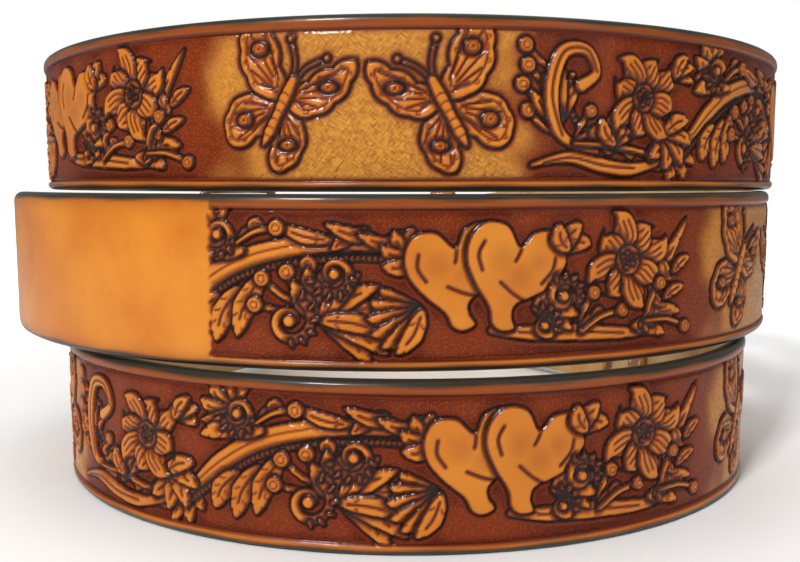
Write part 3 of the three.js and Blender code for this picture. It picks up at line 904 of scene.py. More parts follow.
    def sample(self, u: np.ndarray, v: np.ndarray) -> dict[str, np.ndarray]:
        """Reads the map between its points.

        Args:
            u: Places along the strap, of any size; the pattern repeats.
            v: Places up it.

        Returns:
            Height, dye and painted shade, ground and hatched, each shaped like u.
        """
        x = np.mod(u, self.repeat) / self.step
        y = np.clip((v + self.half) / self.step, 0, len(self.v) - 1.001)
        i0, j0 = np.floor(x).astype(int) % len(self.u), np.floor(y).astype(int)
        i1, fx, fy = (i0 + 1) % len(self.u), x - np.floor(x), y - j0
        out = {}
        for key in ("height", "dye_and_shade", "ground", "hatched"):
            m = getattr(self, key)
            low = m[i0, j0] * (1 - fx) + m[i1, j0] * fx
            high = m[i0, j0 + 1] * (1 - fx) + m[i1, j0 + 1] * fx
            out[key] = low * (1 - fy) + high * fy
        return out


# ---- Belts ------------------------------------------------------------------------------


@dataclass(frozen=True)
class Hoop:
    """A belt's outline in plan: two half ovals that share their widest line."""

    name: str
    half_width: float
    front_depth: float
    back_depth: float
    fold_angle: float
    phase: float  # where in the repeat the front of the hoop is
    tooled_from: float | None = None  # angle where the carving starts, if not at the taper

    def samples(self) -> tuple[np.ndarray, np.ndarray, np.ndarray]:
        """Returns angles, points and distances run, from past the bar round to the bar."""
        low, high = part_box(f"{self.name}_strap")
        centre = ((low[0] + high[0]) / 2 / MM, low[1] / MM + self.front_depth)
        angle = np.radians(np.linspace(self.fold_angle - 360, self.fold_angle, 7201))
        depth = np.where(np.cos(angle) > 0, self.front_depth, self.back_depth)
        x = centre[0] + self.half_width * np.sin(angle)
        y = centre[1] - depth * np.cos(angle)
        run = np.concatenate([[0], np.cumsum(np.hypot(np.diff(x), np.diff(y)))])
        return angle, np.stack([x, y], axis=1), run


@dataclass
class Belt:
    """One belt: strap, folded flap, keeper, buckle and snaps."""

    hoop: Hoop
    carving: Carving
    finishes: dict[str, bpy.types.Material]
    thickness: float = 4.4
    width: float = 44.5
    skived: float = 2.6
    end_width: float = 38.0
    bar_radius: float = 2.1
    bar_clearance: float = 0.55
    tip_to_bar: float = 8.0
    tip_length: float = 20.0
    tip_width: float = 9.0
    tuck_run: float = 70.0
    taper: float = 30.0
    billet_narrow: float = 162.0
    chape_narrow: float = 108.0
    skived_for: float = 76.0
    skive_run: float = 9.0
    flap_length: float = 72.0
    flap_nose: float = 12.0
    keeper_at: float = 92.0
    keeper_wall: float = 2.0
    keeper_room: float = 1.2  # mm of air across the strap
    snaps_at: tuple[float, float] = (24.0, 50.0)
    slot_length: float = 14.0
    slot_half: float = 2.7
    hole_radius: float = 2.4
    first_hole: float = 70.0
    hole_spacing: float = 20.0
    holes: int = 5
    edge_radius: float = 1.9
    fine: float = 0.48  # mm between columns where the carving shows most
    rows: int = 84  # stretches across the face

    def __post_init__(self) -> None:
        """Works out the outline and the depths at the bar."""
        self.angle, self.points, self.run = self.hoop.samples()
        self.length = self.run[-1] - self.tip_to_bar
        self.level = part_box(f"{self.hoop.name}_strap")[0][2] / MM + self.width / 2
        self.fold_inner = self.bar_radius + self.bar_clearance
        self.fold_outer = self.fold_inner + self.skived
        self.flap_face = self.fold_outer + self.fold_inner
        self.flap_back = self.flap_face + self.skived
        self.tuck = self.fold_outer + 1.6 + 0.55

    # -- places --

    def seats(self, from_bar: np.ndarray) -> tuple[np.ndarray, np.ndarray, np.ndarray]:
        """Gives points, travel and outward directions at distances before the bar."""
        at = self.run[-1] - np.asarray(from_bar, dtype=float)
        point = [np.interp(at, self.run, self.points[:, k]) for k in (0, 1)]
        slope = np.gradient(self.points, self.run, axis=0)
        along = np.stack([np.interp(at, self.run, slope[:, k]) for k in (0, 1)], axis=-1)
        along /= np.linalg.norm(along, axis=-1, keepdims=True)
        zero = np.zeros_like(at)
        travel = np.stack([along[..., 0], along[..., 1], zero], axis=-1)
        outward = np.stack([along[..., 1], -along[..., 0], zero], axis=-1)
        return np.stack([*point, zero + self.level], axis=-1), travel, outward

    def seat(self, from_bar: float, depth: float = 0.0) -> Seat:
        """Gives one place on the belt, below its outer face by a depth."""
        point, along, outward = self.seats(np.array([from_bar]))
        return Seat(point[0] - depth * outward[0], along[0], outward[0])

    def ring(self, half: np.ndarray, thick: np.ndarray, rows: int) -> tuple[np.ndarray, np.ndarray]:
        """Draws the rounded section of a strap at many places at once.

        Args:
            half: Half the strap's width at each place.
            thick: Its thickness at each place.
            rows: Stretches across the outer face.

        Returns:
            Depths and heights, each as place by point on the ring. The face's points come first.
        """
        r = np.minimum(self.edge_radius, thick * 0.48)[:, None]
        inner = r * 0.55
        t = np.linspace(-1, 1, rows + 1)[None, :]
        flat = (half[:, None] - r) * t
        turn = np.radians(np.array([22.5, 45.0, 67.5]))[None, :]
        corner_d, corner_h = r * (1 - np.cos(turn)), half[:, None] - r + r * np.sin(turn)
        edge_d, edge_h = r, half[:, None]
        back = thick[:, None] - inner + inner * np.sin(np.radians(np.array([0.0, 45.0, 90.0])))[None, :]
        back_h = half[:, None] - inner + inner * np.cos(np.radians(np.array([0.0, 45.0, 90.0])))[None, :]
        top_d = np.concatenate([corner_d, edge_d, back], axis=1)
        top_h = np.concatenate([corner_h, edge_h, back_h], axis=1)
        middle = thick[:, None] * np.ones((1, 3))
        middle_h = (half[:, None] - inner) * np.array([[0.5, 0.0, -0.5]])
        depth = np.concatenate([np.zeros_like(flat), top_d, middle, top_d[:, ::-1]], axis=1)
        height = np.concatenate([flat, top_h, middle_h, -top_h[:, ::-1]], axis=1)
        return depth, height

    # -- leather --

    def run_at(self, degrees: float) -> float:
        """Gives the distance along the outline at an angle from the front."""
        return float(np.interp(math.radians(degrees), self.angle, self.run))

    def widen(self, gone: np.ndarray, narrow: float) -> np.ndarray:
        """Gives the width at distances from an end that stays narrow for a while."""
        wider = self.width - self.end_width
        return self.end_width + wider * smooth((gone - narrow) / self.taper)

    def columns(self) -> tuple[np.ndarray, float, float]:
        """Chooses the strap's stations, close together where the carving shows.

        Returns:
            Distances from the tip, and where the carving starts and ends.
        """
        start = self.billet_narrow + self.taper + self.tip_to_bar
        if self.hoop.tooled_from is not None:
            start = self.run_at(self.hoop.tooled_from)
        start -= self.tip_to_bar
        end = self.length - self.chape_narrow - self.taper
        front = (
            max(self.run_at(-80) - self.tip_to_bar, start - 6),
            min(self.run_at(80) - self.tip_to_bar, end),
        )
        spans = [(0.0, self.tip_length, 1.0), (self.tip_length, min(start - 6, front[0]), 3.0)]
        if front[0] > start:
            spans.append((start - 6, front[0], 1.3))
        spans.append((front[0], front[1], self.fine))
        spans.append((front[1], end + 6, 1.3))
        spans.append((end + 6, self.length, 2.5))
        parts = [
            np.linspace(a, b, max(int((b - a) / step), 1), endpoint=False) for a, b, step in spans if b > a
        ]
        return np.concatenate([*parts, [self.length]]), start, end

    def strap(self) -> bpy.types.Object:
        """Builds the strap with its carving, fold, slot and holes."""
        tip, start, end = self.columns()
        from_bar = self.length - tip
        full = np.minimum(self.widen(tip, self.billet_narrow), self.widen(from_bar, self.chape_narrow))
        nose = np.sqrt(np.clip(1 - (1 - np.clip(tip / self.tip_length, 0, 1)) ** 2, 0, 1))
        half = np.minimum(full, self.tip_width + (full - self.tip_width) * nose) / 2
        thick = self.skived + (self.thickness - self.skived) * smooth(
            (from_bar - self.skived_for) / self.skive_run
        )
        point, _, outward = self.seats(from_bar)
        point = point - outward * (self.tuck * smooth(1 - tip / self.tuck_run))[:, None]

        turns = np.linspace(0, math.pi, 15)[1:]
        seat = self.seat(0.0, self.fold_outer)
        out = np.cos(turns)[:, None] * seat.outward + np.sin(turns)[:, None] * seat.along
        point = np.concatenate([point, seat.origin + out * self.fold_outer])
        outward = np.concatenate([outward, out])
        half = np.concatenate([half, np.full(len(turns), self.end_width / 2)])
        thick = np.concatenate([thick, np.full(len(turns), self.skived)])
        tip = np.concatenate([tip, self.length + turns * self.fold_outer])

        depth, height = self.ring(half, thick, self.rows)
        face = slice(0, self.rows + 1)
        s = tip[:, None] * np.ones((1, self.rows + 1))
        at_front = float(np.interp(0.0, self.angle, self.run)) - self.tip_to_bar
        wander = 0.35 * np.sin(s / 17 + self.hoop.phase) * np.cos(height[:, face] / 9)
        got = self.carving.sample(
            s - at_front + self.hoop.phase + wander, height[:, face] + 0.2 * np.sin(s / 23)
        )
        ragged = 0.3 * np.sin(height[:, face] * 0.9) + 0.2 * np.sin(height[:, face] * 2.3 + 1)
        worked = smooth((s - start + ragged) / 1.2) * smooth((end - s + ragged) / 1.2)
        depth[:, face] -= got["height"] * worked
        tooling = np.zeros((*depth.shape, 4))
        tooling[:, face, 0] = got["dye_and_shade"] * worked
        tooling[:, face, 1] = got["ground"] * worked
        tooling[:, face, 2] = got["hatched"] * worked
        from_edge = half[:, None] - np.abs(height)
        paint = 1 - smooth((from_edge - 1.2 - 0.25 * np.sin(tip[:, None] / 5)) / 0.9)
        tooling[..., 3] = np.where(depth > thick[:, None] - 0.4, 0, paint)
        darker = 0.35 * np.exp(-np.maximum(from_edge - 1.5, 0) / 3.2) * (depth < 1.5)
        tooling[..., 0] = np.maximum(tooling[..., 0], darker)

        grid = point[:, None, :] - depth[..., None] * outward[:, None, :] + height[..., None] * UP
        name = f"{self.hoop.name}_carved_strap"
        made = tube(name, grid, sharp=180.0)
        flat = np.stack([s[:, :1] * np.ones_like(depth), height, depth], axis=-1)
        self.cut_strap(made)
        self.mark(made, grid.reshape(-1, 3), tooling.reshape(-1, 4), flat.reshape(-1, 3), thick)
        return made

    def cut_strap(self, made: bpy.types.Object) -> None:
        """Punches the billet's holes and cuts the prong's slot."""
        for k in range(self.holes):
            from_bar = self.length - self.first_hole - k * self.hole_spacing
            combine(made, self.plug(from_bar, self.hole_radius, 12.0), "DIFFERENCE")
        self.cut_slot(made)

    def cut_slot(self, made: bpy.types.Object) -> None:
        """Cuts the slot that the prong comes through."""
        depth = self.flap_back + 1
        seat = self.seat(0.0)
        x = [-self.slot_length, self.fold_outer + 1]
        ends = []
        for along in x:
            ends.append([(along, d, z) for d, z in ((-depth, -1), (depth, -1), (depth, 1), (-depth, 1))])
        block = np.array(ends) * np.array([1, 1, self.slot_half])
        combine(made, tube("slot_cutter", seat.place(block)), "DIFFERENCE")
        combine(made, self.plug(self.slot_length, self.slot_half, depth * 2, straight=seat), "DIFFERENCE")

    def plug(
        self, from_bar: float, radius: float, depth: float, straight: Seat | None = None
    ) -> bpy.types.Object:
        """Makes a round cutter through the strap."""
        seat = straight or self.seat(from_bar)
        shift = -from_bar if straight else 0.0
        a = np.linspace(0, math.tau, 28, endpoint=False)
        rings = [
            np.stack([shift + radius * np.cos(a), np.full_like(a, y), radius * np.sin(a)], 1)
            for y in (-depth, depth)
        ]
        return tube("cutter", seat.place(np.array(rings)))

    def mark(
        self,
        made: bpy.types.Object,
        points: np.ndarray,
        tooling: np.ndarray,
        flat: np.ndarray,
        thick: np.ndarray,
    ) -> None:
        """Writes the carving's marks on the mesh and parts the grain side from the flesh side.

        Args:
            made: The strap.
            points: The uncut strap's vertices, in millimetres.
            tooling: Dye and painted shade, ground, hatched and edge paint for each of them.
            flat: Each one's place on the strap laid out flat.
            thick: The strap's thickness at each station.
        """
        mesh = made.data
        tree = KDTree(len(points))
        for k, p in enumerate((points * MM).tolist()):
            tree.insert(p, k)
        tree.balance()
        nearest = np.array([tree.find(v.co)[1] for v in mesh.vertices])
        colour = mesh.attributes.new("tooling", "FLOAT_COLOR", "POINT")
        colour.data.foreach_set("color", tooling[nearest].astype(np.float32).ravel())
        place = mesh.attributes.new("flat", "FLOAT_VECTOR", "POINT")
        place.data.foreach_set("vector", flat[nearest].astype(np.float32).ravel())
        per_ring = len(points) // len(thick)
        share = flat[:, 2] / np.repeat(thick, per_ring)
        loops = np.zeros(len(mesh.loops), dtype=int)
        mesh.loops.foreach_get("vertex_index", loops)
        starts = np.array([p.loop_start for p in mesh.polygons])
        totals = np.add.reduceat(share[nearest][loops], starts)
        counts = np.diff(np.append(starts, len(loops)))
        side = np.where(totals / counts > 0.86, Layer.FLESH.value, Layer.GRAIN.value)
        mesh.materials.clear()
        mesh.materials.append(self.finishes["carved"])
        mesh.materials.append(self.finishes["flesh"])
        mesh.polygons.foreach_set("material_index", side.astype(np.int32))
        mesh.update()

    def flap(self) -> bpy.types.Object:
        """Builds the turned-back end, thinned and round-nosed."""
        from_bar = np.concatenate(
            [np.linspace(0.3, 60, 40), 60 + 12 * np.sin(np.linspace(0.1, math.pi / 2, 12))]
        )
        nose = np.clip((self.flap_length - from_bar) / self.flap_nose, 0, 1)
        half = (
            self.tip_width
            + (self.end_width - self.tip_width) * np.sqrt(np.clip(1 - (1 - nose) ** 2, 0, 1))
        ) / 2
        point, _, outward = self.seats(from_bar)
        depth, height = self.ring(half, np.full(len(half), self.skived), 12)
        grid = (
            point[:, None, :]
            - (self.flap_back - depth)[..., None] * outward[:, None, :]
            + height[..., None] * UP
        )
        made = tube(f"{self.hoop.name}_turned_flap", grid, sharp=180.0)
        self.cut_slot(made)
        return self.dress(made, "flap")

    def keeper(self) -> bpy.types.Object:
        """Builds the sliding loop: a rounded leather strip closed round the strap."""
        wall, length, soft, r = self.keeper_wall, 12.0, 0.7, 2.0
        deep = (self.thickness + self.keeper_room) / 2 + wall / 2
        high = (self.end_width + self.keeper_room) / 2 + wall / 2
        path = []
        for (cx, cz), start in (((1, 1), 0), ((-1, 1), 90), ((-1, -1), 180), ((1, -1), 270)):
            for a in np.radians(np.linspace(start, start + 90, 7)):
                c, s = math.cos(a), math.sin(a)
                path.append((cx * (deep - r) + r * c, cz * (high - r) + r * s, c, s))
        strip = []
        for sx, sy in ((1, 1), (-1, 1), (-1, -1), (1, -1)):
            for a in np.radians(np.linspace(0, 90, 4)):
                if sx * sy > 0:
                    c, s = math.cos(a), math.sin(a)
                else:
                    c, s = math.sin(a), math.cos(a)
                strip.append((sx * (length / 2 - soft + soft * c), sy * (wall / 2 - soft + soft * s)))
        grid = np.array([[(x, y + n * t, z + m * t) for x, t in strip] for y, z, n, m in path])
        seat = self.seat(self.keeper_at, self.thickness / 2)
        made = tube(f"{self.hoop.name}_keeper_loop", seat.place(grid), along=True, sharp=180.0)
        return self.dress(made, "keeper")

    # -- metal --

    def buckle(self) -> bpy.types.Object:
        """Builds the cast frame: two rails, a wider far bar and the heel bar."""
        half, reach, corner = 21.0, 35.5, 5.0
        rail, wider, deep = 1.2, 0.9, 1.6
        path = [(x, -half, rail) for x in np.linspace(-1.9, reach - corner, 8)]
        for a in np.radians(np.linspace(-80, 0, 9)):
            bend = (reach - corner + corner * math.cos(a), -half + corner + corner * math.sin(a))
            path.append((*bend, rail + wider * (a / 1.4 + 1)))
        path.append((reach, 0.0, 2.1))
        path += [(x, -z, w) for x, z, w in reversed(path[:-1])]
        line = np.array(path)
        travel = np.gradient(line[:, :2], axis=0)
        travel /= np.linalg.norm(travel, axis=1, keepdims=True)
        rings = []
        for (x, z, w), (tx, tz) in zip(line, travel):
            ring = []
            for a in np.linspace(0, math.tau, 24, endpoint=False):
                c, s = math.cos(a), math.sin(a)
                side = w * math.copysign(abs(c) ** 0.55, c)
                up = deep * math.copysign(abs(s) ** 0.6, s)
                ring.append((x + side * tz, up, z - side * tx))
            rings.append(ring)
        seat = self.seat(0.0, self.fold_outer)
        made = tube(f"{self.hoop.name}_cast_buckle", seat.place(np.array(rings)), sharp=50.0)
        a = np.linspace(0, math.tau, 32, endpoint=False)
        r = self.bar_radius
        bar = [(r - 0.5, -22.15), (r, -21.7), (r, 0.0), (r, 21.7), (r - 0.5, 22.15)]
        rings = [np.stack([q * np.cos(a), q * np.sin(a), np.full_like(a, z)], axis=1) for q, z in bar]
        combine(made, tube("bar", seat.place(np.array(rings))), "UNION")
        return self.dress(made, "buckle")

    def prong(self) -> bpy.types.Object:
        """Builds the prong: a flat rod bent round the heel bar and laid on the far bar."""
        radius = self.bar_radius + 0.4 + 1.0
        hook = [(radius * math.cos(a), radius * math.sin(a)) for a in np.radians(np.linspace(-35, -268, 24))]
        blade = [(4.0, 3.7), (9.0, 3.3), (16.0, 3.05), (24.0, 3.0), (31.0, 3.0), (36.5, 3.0), (38.8, 2.95)]
        line = np.array(hook + blade)
        travel = np.gradient(line, axis=0)
        travel /= np.linalg.norm(travel, axis=1, keepdims=True)
        rings = []
        for k, ((x, y), (tx, ty)) in enumerate(zip(line, travel)):
            end = max(0.0, x - 33.0) / 6.0 if k > len(hook) else 0.0
            wide, thick = 1.65 * (1 - 0.35 * end), 1.0 * (1 - 0.35 * end)
            ring = []
            for a in np.linspace(0, math.tau, 20, endpoint=False):
                c, s = math.cos(a), math.sin(a)
                up, side = thick * math.copysign(abs(s) ** 0.7, s), wide * math.copysign(abs(c) ** 0.7, c)
                ring.append((x - ty * up, y + tx * up, side))
            rings.append(ring)
        seat = self.seat(0.0, self.fold_outer)
        rod = tube(f"{self.hoop.name}_buckle_prong", seat.place(np.array(rings)), sharp=50.0)
        return self.dress(rod, "buckle")

    def lathe(self, name: str, profile: Sequence[tuple[float, float]], seat: Seat) -> bpy.types.Object:
        """Turns a snap's profile, radius by height, about the outward direction."""
        a = np.linspace(0, math.tau, 40, endpoint=False)
        grid = np.array(
            [[(max(r, 1e-6) * math.cos(t), h, max(r, 1e-6) * math.sin(t)) for t in a] for r, h in profile]
        )
        closed = profile[0] == profile[-1]
        if closed:
            grid = grid[:-1]
        points, faces = grid.reshape(-1, 3), ring_faces(len(grid), 40, True, closed).tolist()
        on_axis = np.hypot(points[:, 0], points[:, 2])[:, None] < 1e-5
        points = np.where(on_axis, points * np.array([0, 1, 0]), points)
        return self.dress(mesh_object(name, seat.place(points), faces, 38.0), "snap")

    def snap(self, number: int) -> dict[str, bpy.types.Object]:
        """Builds one snap: cap and socket on the strap, stud and post on the flap."""
        seat = self.seat(self.snaps_at[number - 1])
        over, under = 0.15, 0.45
        hole = 2.3
        socket_top = -self.skived - under
        plate = socket_top - 1.45
        stud_foot = -self.flap_face + over
        stud_top = stud_foot + 0.9
        socket_foot, knob = stud_top + 0.6, plate - 0.3
        flange = -self.flap_back - under
        dome = [
            (7.45 * math.cos(a), over + 0.75 + 1.7 * math.sin(a)) for a in np.linspace(0.0, math.pi / 2, 12)
        ]
        dome[-1] = (0.0, dome[-1][1])
        profiles = {
            "cap": [
                (0, plate + 0.3), (1.7, plate + 0.3), (2.0, plate + 0.6), (2.0, over), (6.9, over),
                (7.3, over + 0.1), (7.45, over + 0.4), *dome,
            ],
            "socket": [
                (hole, plate), (3.9, plate), (3.9, socket_foot + 0.3), (4.2, socket_foot), (5.4, socket_foot),
                (6.0, socket_foot + 0.35), (6.2, socket_foot + 0.8), (6.2, socket_top - 0.25),
                (5.9, socket_top), (hole, socket_top), (hole, plate),
            ],
            "stud": [
                (hole, stud_foot), (5.4, stud_foot), (5.6, stud_foot + 0.25), (5.5, stud_top - 0.2),
                (5.1, stud_top), (3.1, stud_top), (2.9, stud_top + 0.3), (3.3, (stud_top + knob) / 2 + 0.2),
                (3.1, knob - 0.3), (2.6, knob), (0, knob), (0, knob - 0.9),
                (hole, knob - 0.9), (hole, stud_foot),
            ],
            "post": [
                (0, flange - 0.55), (1.4, flange - 0.55), (1.9, flange - 0.8), (3.6, flange - 0.8),
                (4.7, flange - 0.55), (5.0, flange - 0.2), (4.9, flange), (2.0, flange), (2.0, knob - 1.2),
                (0, knob - 1.2),
            ],
        }
        return {
            kind: self.lathe(f"{self.hoop.name}_snap_{kind}_turned_{number}", p, seat)
            for kind, p in profiles.items()
        }

    def dress(self, made: bpy.types.Object, finish: str) -> bpy.types.Object:
        """Gives a piece one finish and returns it."""
        made.data.materials.clear()
        made.data.materials.append(self.finishes[finish])
        return made

    def stitches(self) -> bpy.types.Object:
        """Sews the keeper shut with a row of stitches across its outer face."""
        seat = self.seat(self.keeper_at, self.thickness / 2)
        proud = 0.12
        y = -((self.thickness + self.keeper_room) / 2 + self.keeper_wall + proud)
        route = [seat.place(np.array([[x, y, z] for z in np.linspace(-9, 9, 7)])) for x in (-3.5, 3.5)]
        return Stitching(self.finishes["thread"]).sew(f"{self.hoop.name}_keeper_stitches", route)

    def build(self) -> None:
        """Builds every piece, puts each on its body and hides the part it stands in for."""
        name = self.hoop.name
        plan: list[tuple[Callable, str, str, str]] = [
            (self.strap, "belt", "strap", "tooled_leather"),
            (self.flap, "flap", "flap", "flap_leather"),
            (self.keeper, "keeper", "keeper", "keeper_leather"),
            (self.buckle, "frame", "buckle_frame", "buckle_metal"),
            (self.prong, "prong", "prong", "buckle_metal"),
        ]
        for make, body, node, slot in plan:
            piece = make()
            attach(piece, f"{name}_{body}")
            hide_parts(f"{name}_{node}")
            log.info("%s: %d faces", piece.name, len(piece.data.polygons))
        sewn = self.stitches()
        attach(sewn, f"{name}_keeper")
        for number in (1, 2):
            for kind, piece in self.snap(number).items():
                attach(piece, f"{name}_belt" if kind in ("cap", "socket") else f"{name}_flap")
                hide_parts(f"{name}_snap_{kind}_{number}")
                log.info("%s: %d faces", piece.name, len(piece.data.polygons))


@dataclass
class Stitching:
    """Waxed thread set along a route by Geometry Nodes, one short stitch at a time."""

    thread: bpy.types.Material
    radius: float = 0.38
    length: float = 2.3
    pitch: float = 3.0

    def tree(self) -> tuple[bpy.types.NodeTree, dict[str, str]]:
        """Builds the node tree and returns it with its inputs' identifiers."""
        tree = bpy.data.node_groups.new("stitch_row", "GeometryNodeTree")
        tree.interface.new_socket("Geometry", in_out="INPUT", socket_type="NodeSocketGeometry")
        names = {}
        for label in ("Pitch", "Length", "Radius"):
            item = tree.interface.new_socket(label, in_out="INPUT", socket_type="NodeSocketFloat")
            names[label] = item.identifier
        item = tree.interface.new_socket("Thread", in_out="INPUT", socket_type="NodeSocketMaterial")
        names["Thread"] = item.identifier
        tree.interface.new_socket("Geometry", in_out="OUTPUT", socket_type="NodeSocketGeometry")
        source = tree.nodes.new("NodeGroupInput")
        sink = tree.nodes.new("NodeGroupOutput")

        def add(kind: str, links: dict, **settings: object) -> bpy.types.Node:
            """Adds one node with its links."""
            node = tree.nodes.new(kind)
            for key, value in settings.items():
                setattr(node, key, value)
            for key, value in links.items():
                tree.links.new(value, node.inputs[key])
            return node

        route = add("GeometryNodeMeshToCurve", {"Mesh": source.outputs["Geometry"]})
        points = add(
            "GeometryNodeCurveToPoints",
            {"Curve": route.outputs[0], "Length": source.outputs["Pitch"]},
            mode="LENGTH",
        )
        stitch = add("GeometryNodeMeshUVSphere", {"Radius": source.outputs["Radius"]})
        stitch.inputs["Segments"].default_value = 10
        stitch.inputs["Rings"].default_value = 6
        ratio = add(
            "ShaderNodeMath", {0: source.outputs["Length"], 1: source.outputs["Radius"]}, operation="DIVIDE"
        )
        stretch = add("ShaderNodeMath", {0: ratio.outputs[0]}, operation="MULTIPLY")
        stretch.inputs[1].default_value = 0.5
        size = add("ShaderNodeCombineXYZ", {"Z": stretch.outputs[0]})
        size.inputs["X"].default_value = 1.0
        size.inputs["Y"].default_value = 1.0
        placed = add(
            "GeometryNodeInstanceOnPoints",
            {
                "Points": points.outputs["Points"],
                "Instance": stitch.outputs["Mesh"],
                "Rotation": points.outputs["Rotation"],
                "Scale": size.outputs[0],
            },
        )
        real = add("GeometryNodeRealizeInstances", {"Geometry": placed.outputs[0]})
        dressed = add(
            "GeometryNodeSetMaterial", {"Geometry": real.outputs[0], "Material": source.outputs["Thread"]}
        )
        tree.links.new(dressed.outputs[0], sink.inputs["Geometry"])
        return tree, names

    def sew(self, name: str, routes: list[np.ndarray]) -> bpy.types.Object:
        """Sews along the routes and returns a plain mesh.

        Args:
            name: The piece's name.
            routes: Each route's points, in millimetres.

        Returns:
            The stitches as one object at the origin.
        """
        tree, names = self.tree()
        points = np.concatenate(routes)
        edges, start = [], 0
        for route in routes:
            edges += [(start + k, start + k + 1) for k in range(len(route) - 1)]
            start += len(route)
        mesh = bpy.data.meshes.new(name)
        mesh.from_pydata((points * MM).tolist(), edges, [])
        made = bpy.data.objects.new(name, mesh)
        bpy.context.collection.objects.link(made)
        modifier = made.modifiers.new("stitches", "NODES")
        modifier.node_group = tree
        for label, value in (
            ("Pitch", self.pitch * MM), ("Length", self.length * MM), ("Radius", self.radius * MM)
        ):
            modifier[names[label]] = value
        modifier[names["Thread"]] = self.thread
        result = bpy.data.meshes.new_from_object(made.evaluated_get(bpy.context.evaluated_depsgraph_get()))
        made.modifiers.remove(modifier)
        made.data = result
        made.data.shade_smooth()
        return made


# ---- Studio -----------------------------------------------------------------------------


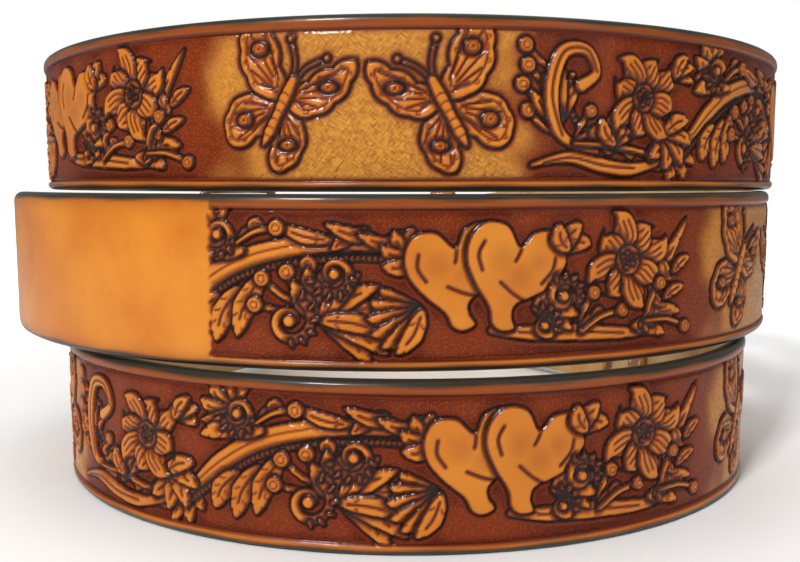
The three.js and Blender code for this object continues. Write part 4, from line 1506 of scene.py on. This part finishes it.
@dataclass
class Studio:
    """Floor, soft light and camera."""

    aside: float = -4.52
    distance: float = 347.7
    eye: float = 92.6
    pitch: float = 6.24
    focal: float = 40.5

    def camera(self) -> None:
        """Sets the camera in front, a little above the middle and looking slightly down."""
        data = bpy.data.cameras.new("camera")
        data.lens = self.focal
        data.sensor_width = 36.0
        data.clip_start = 0.01
        made = bpy.data.objects.new("camera", data)
        made.location = (self.aside * MM, -self.distance * MM, self.eye * MM)
        made.rotation_euler = (math.radians(90 - self.pitch), 0, 0)
        bpy.context.collection.objects.link(made)
        bpy.context.scene.camera = made

    def lamp(self, name: str, place: tuple, power: float, size: float) -> None:
        """Hangs one soft lamp that looks at the stack."""
        data = bpy.data.lights.new(name, "AREA")
        data.energy = power
        data.size = size
        made = bpy.data.objects.new(name, data)
        made.location = place
        aim = Vector((0, 0, 0.07)) - Vector(place)
        made.rotation_euler = aim.to_track_quat("-Z", "Y").to_euler()
        bpy.context.collection.objects.link(made)

    def world(self) -> None:
        """Fills with a soft even light and shows white behind the object."""
        world = bpy.data.worlds.new("studio")
        world.use_nodes = True
        tree = world.node_tree
        tree.nodes.clear()
        path = tree.nodes.new("ShaderNodeLightPath")
        seen = tree.nodes.new("ShaderNodeMath")
        seen.operation = "MAXIMUM"
        tree.links.new(path.outputs["Is Camera Ray"], seen.inputs[0])
        tree.links.new(path.outputs["Is Transmission Ray"], seen.inputs[1])
        fill, white = (tree.nodes.new("ShaderNodeBackground") for _ in range(2))
        fill.inputs["Color"].default_value = (1, 1, 1, 1)
        fill.inputs["Strength"].default_value = 0.26
        white.inputs["Strength"].default_value = 1.0
        white.inputs["Color"].default_value = (1, 1, 1, 1)
        mix = tree.nodes.new("ShaderNodeMixShader")
        out = tree.nodes.new("ShaderNodeOutputWorld")
        tree.links.new(seen.outputs[0], mix.inputs[0])
        tree.links.new(fill.outputs[0], mix.inputs[1])
        tree.links.new(white.outputs[0], mix.inputs[2])
        tree.links.new(mix.outputs[0], out.inputs["Surface"])
        bpy.context.scene.world = world

    def floor(self) -> None:
        """Lays a pale floor that the stack stands on."""
        size = 4000.0
        points = np.array([(-size, -size, 0), (size, -size, 0), (size, size, 0), (-size, size, 0)])
        mesh = bpy.data.meshes.new("floor")
        mesh.from_pydata((points * MM).tolist(), [], [(0, 1, 2, 3)])
        made = bpy.data.objects.new("floor", mesh)
        bpy.context.collection.objects.link(made)
        s = Shader("matt_white_paper")
        place = s.add("ShaderNodeTexCoord").outputs["Object"]
        cloud = s.add("ShaderNodeTexNoise", {"Vector": place, "Scale": 9.0})
        colour = s.mix(cloud.outputs[0], linear("#F7F6F4"), linear("#FBFAF8"))
        seen = s.add("ShaderNodeLightPath").outputs["Is Camera Ray"]
        away = s.add("ShaderNodeVectorMath", {0: place}, operation="LENGTH").outputs["Value"]
        glow = s.math("MULTIPLY", s.ramp(away, 0.17, 0.6), 1.1)
        glow = s.math("ADD", glow, s.math("MULTIPLY", s.ramp(away, 0.13, 0.17), 0.14))
        s.surface(Base_Color=colour, Roughness=0.9, Emission_Color=(1, 1, 1, 1))
        s.tree.links.new(s.math("MULTIPLY", seen, glow), s.principled.inputs["Emission Strength"])
        mesh.materials.append(s.material)

    def build(self) -> None:
        """Sets the whole studio."""
        self.camera()
        self.world()
        self.floor()
        self.lamp("key", (-0.42, -0.85, 0.85), 10.5, 0.2)
        self.lamp("fill", (0.75, -0.75, 0.35), 1.2, 0.6)
        self.lamp("top", (0.1, 0.1, 0.95), 1.2, 0.8)
        self.lamp("rear", (0.2, 1.0, 0.6), 3.4, 0.6)
        bpy.context.scene.view_settings.view_transform = "Standard"


def main() -> None:
    """Builds the studio and the three belts."""
    logging.basicConfig(level=logging.INFO, format="%(message)s")
    Studio().build()
    finishes = {
        "carved": CarvedLeather().build(),
        "flesh": PlainLeather("flesh_side_suede", "#D9BE93", "#B08A5A", 0.92, 0.5, 0.16).build(),
        "flap": PlainLeather("skived_natural_leather", "#CFA468", "#A97A42", 0.7, 0.6, 0.08).build(),
        "keeper": PlainLeather("burnished_loop_leather", "#C67A2A", "#7A4015", 0.42, 0.5, 0.07, 0.3).build(),
        "buckle": NickelPlate("nickel_plated_zinc_casting", "#C9C4B8", "#8E877A", 0.3).build(),
        "snap": NickelPlate("polished_nickel_on_brass", "#D6D1C6", "#A8A296", 0.2).build(),
        "thread": PlainLeather("waxed_linen_thread", "#E6DCC4", "#C9BB98", 0.6, 0.3, 0.05).build(),
    }
    carving = Carving().build()
    hoops = (
        Hoop("bottom", 113.7, 99.6, 163.6, 150.0, 86.1),
        Hoop("middle", 134.4, 124.4, 126.8, 208.4, 85.8, -20.2),
        Hoop("top", 139.9, 153.2, 84.0, 141.0, 237.2),
    )
    for hoop in hoops:
        Belt(hoop, carving, finishes).build()


if __name__ == "__main__":
    main()
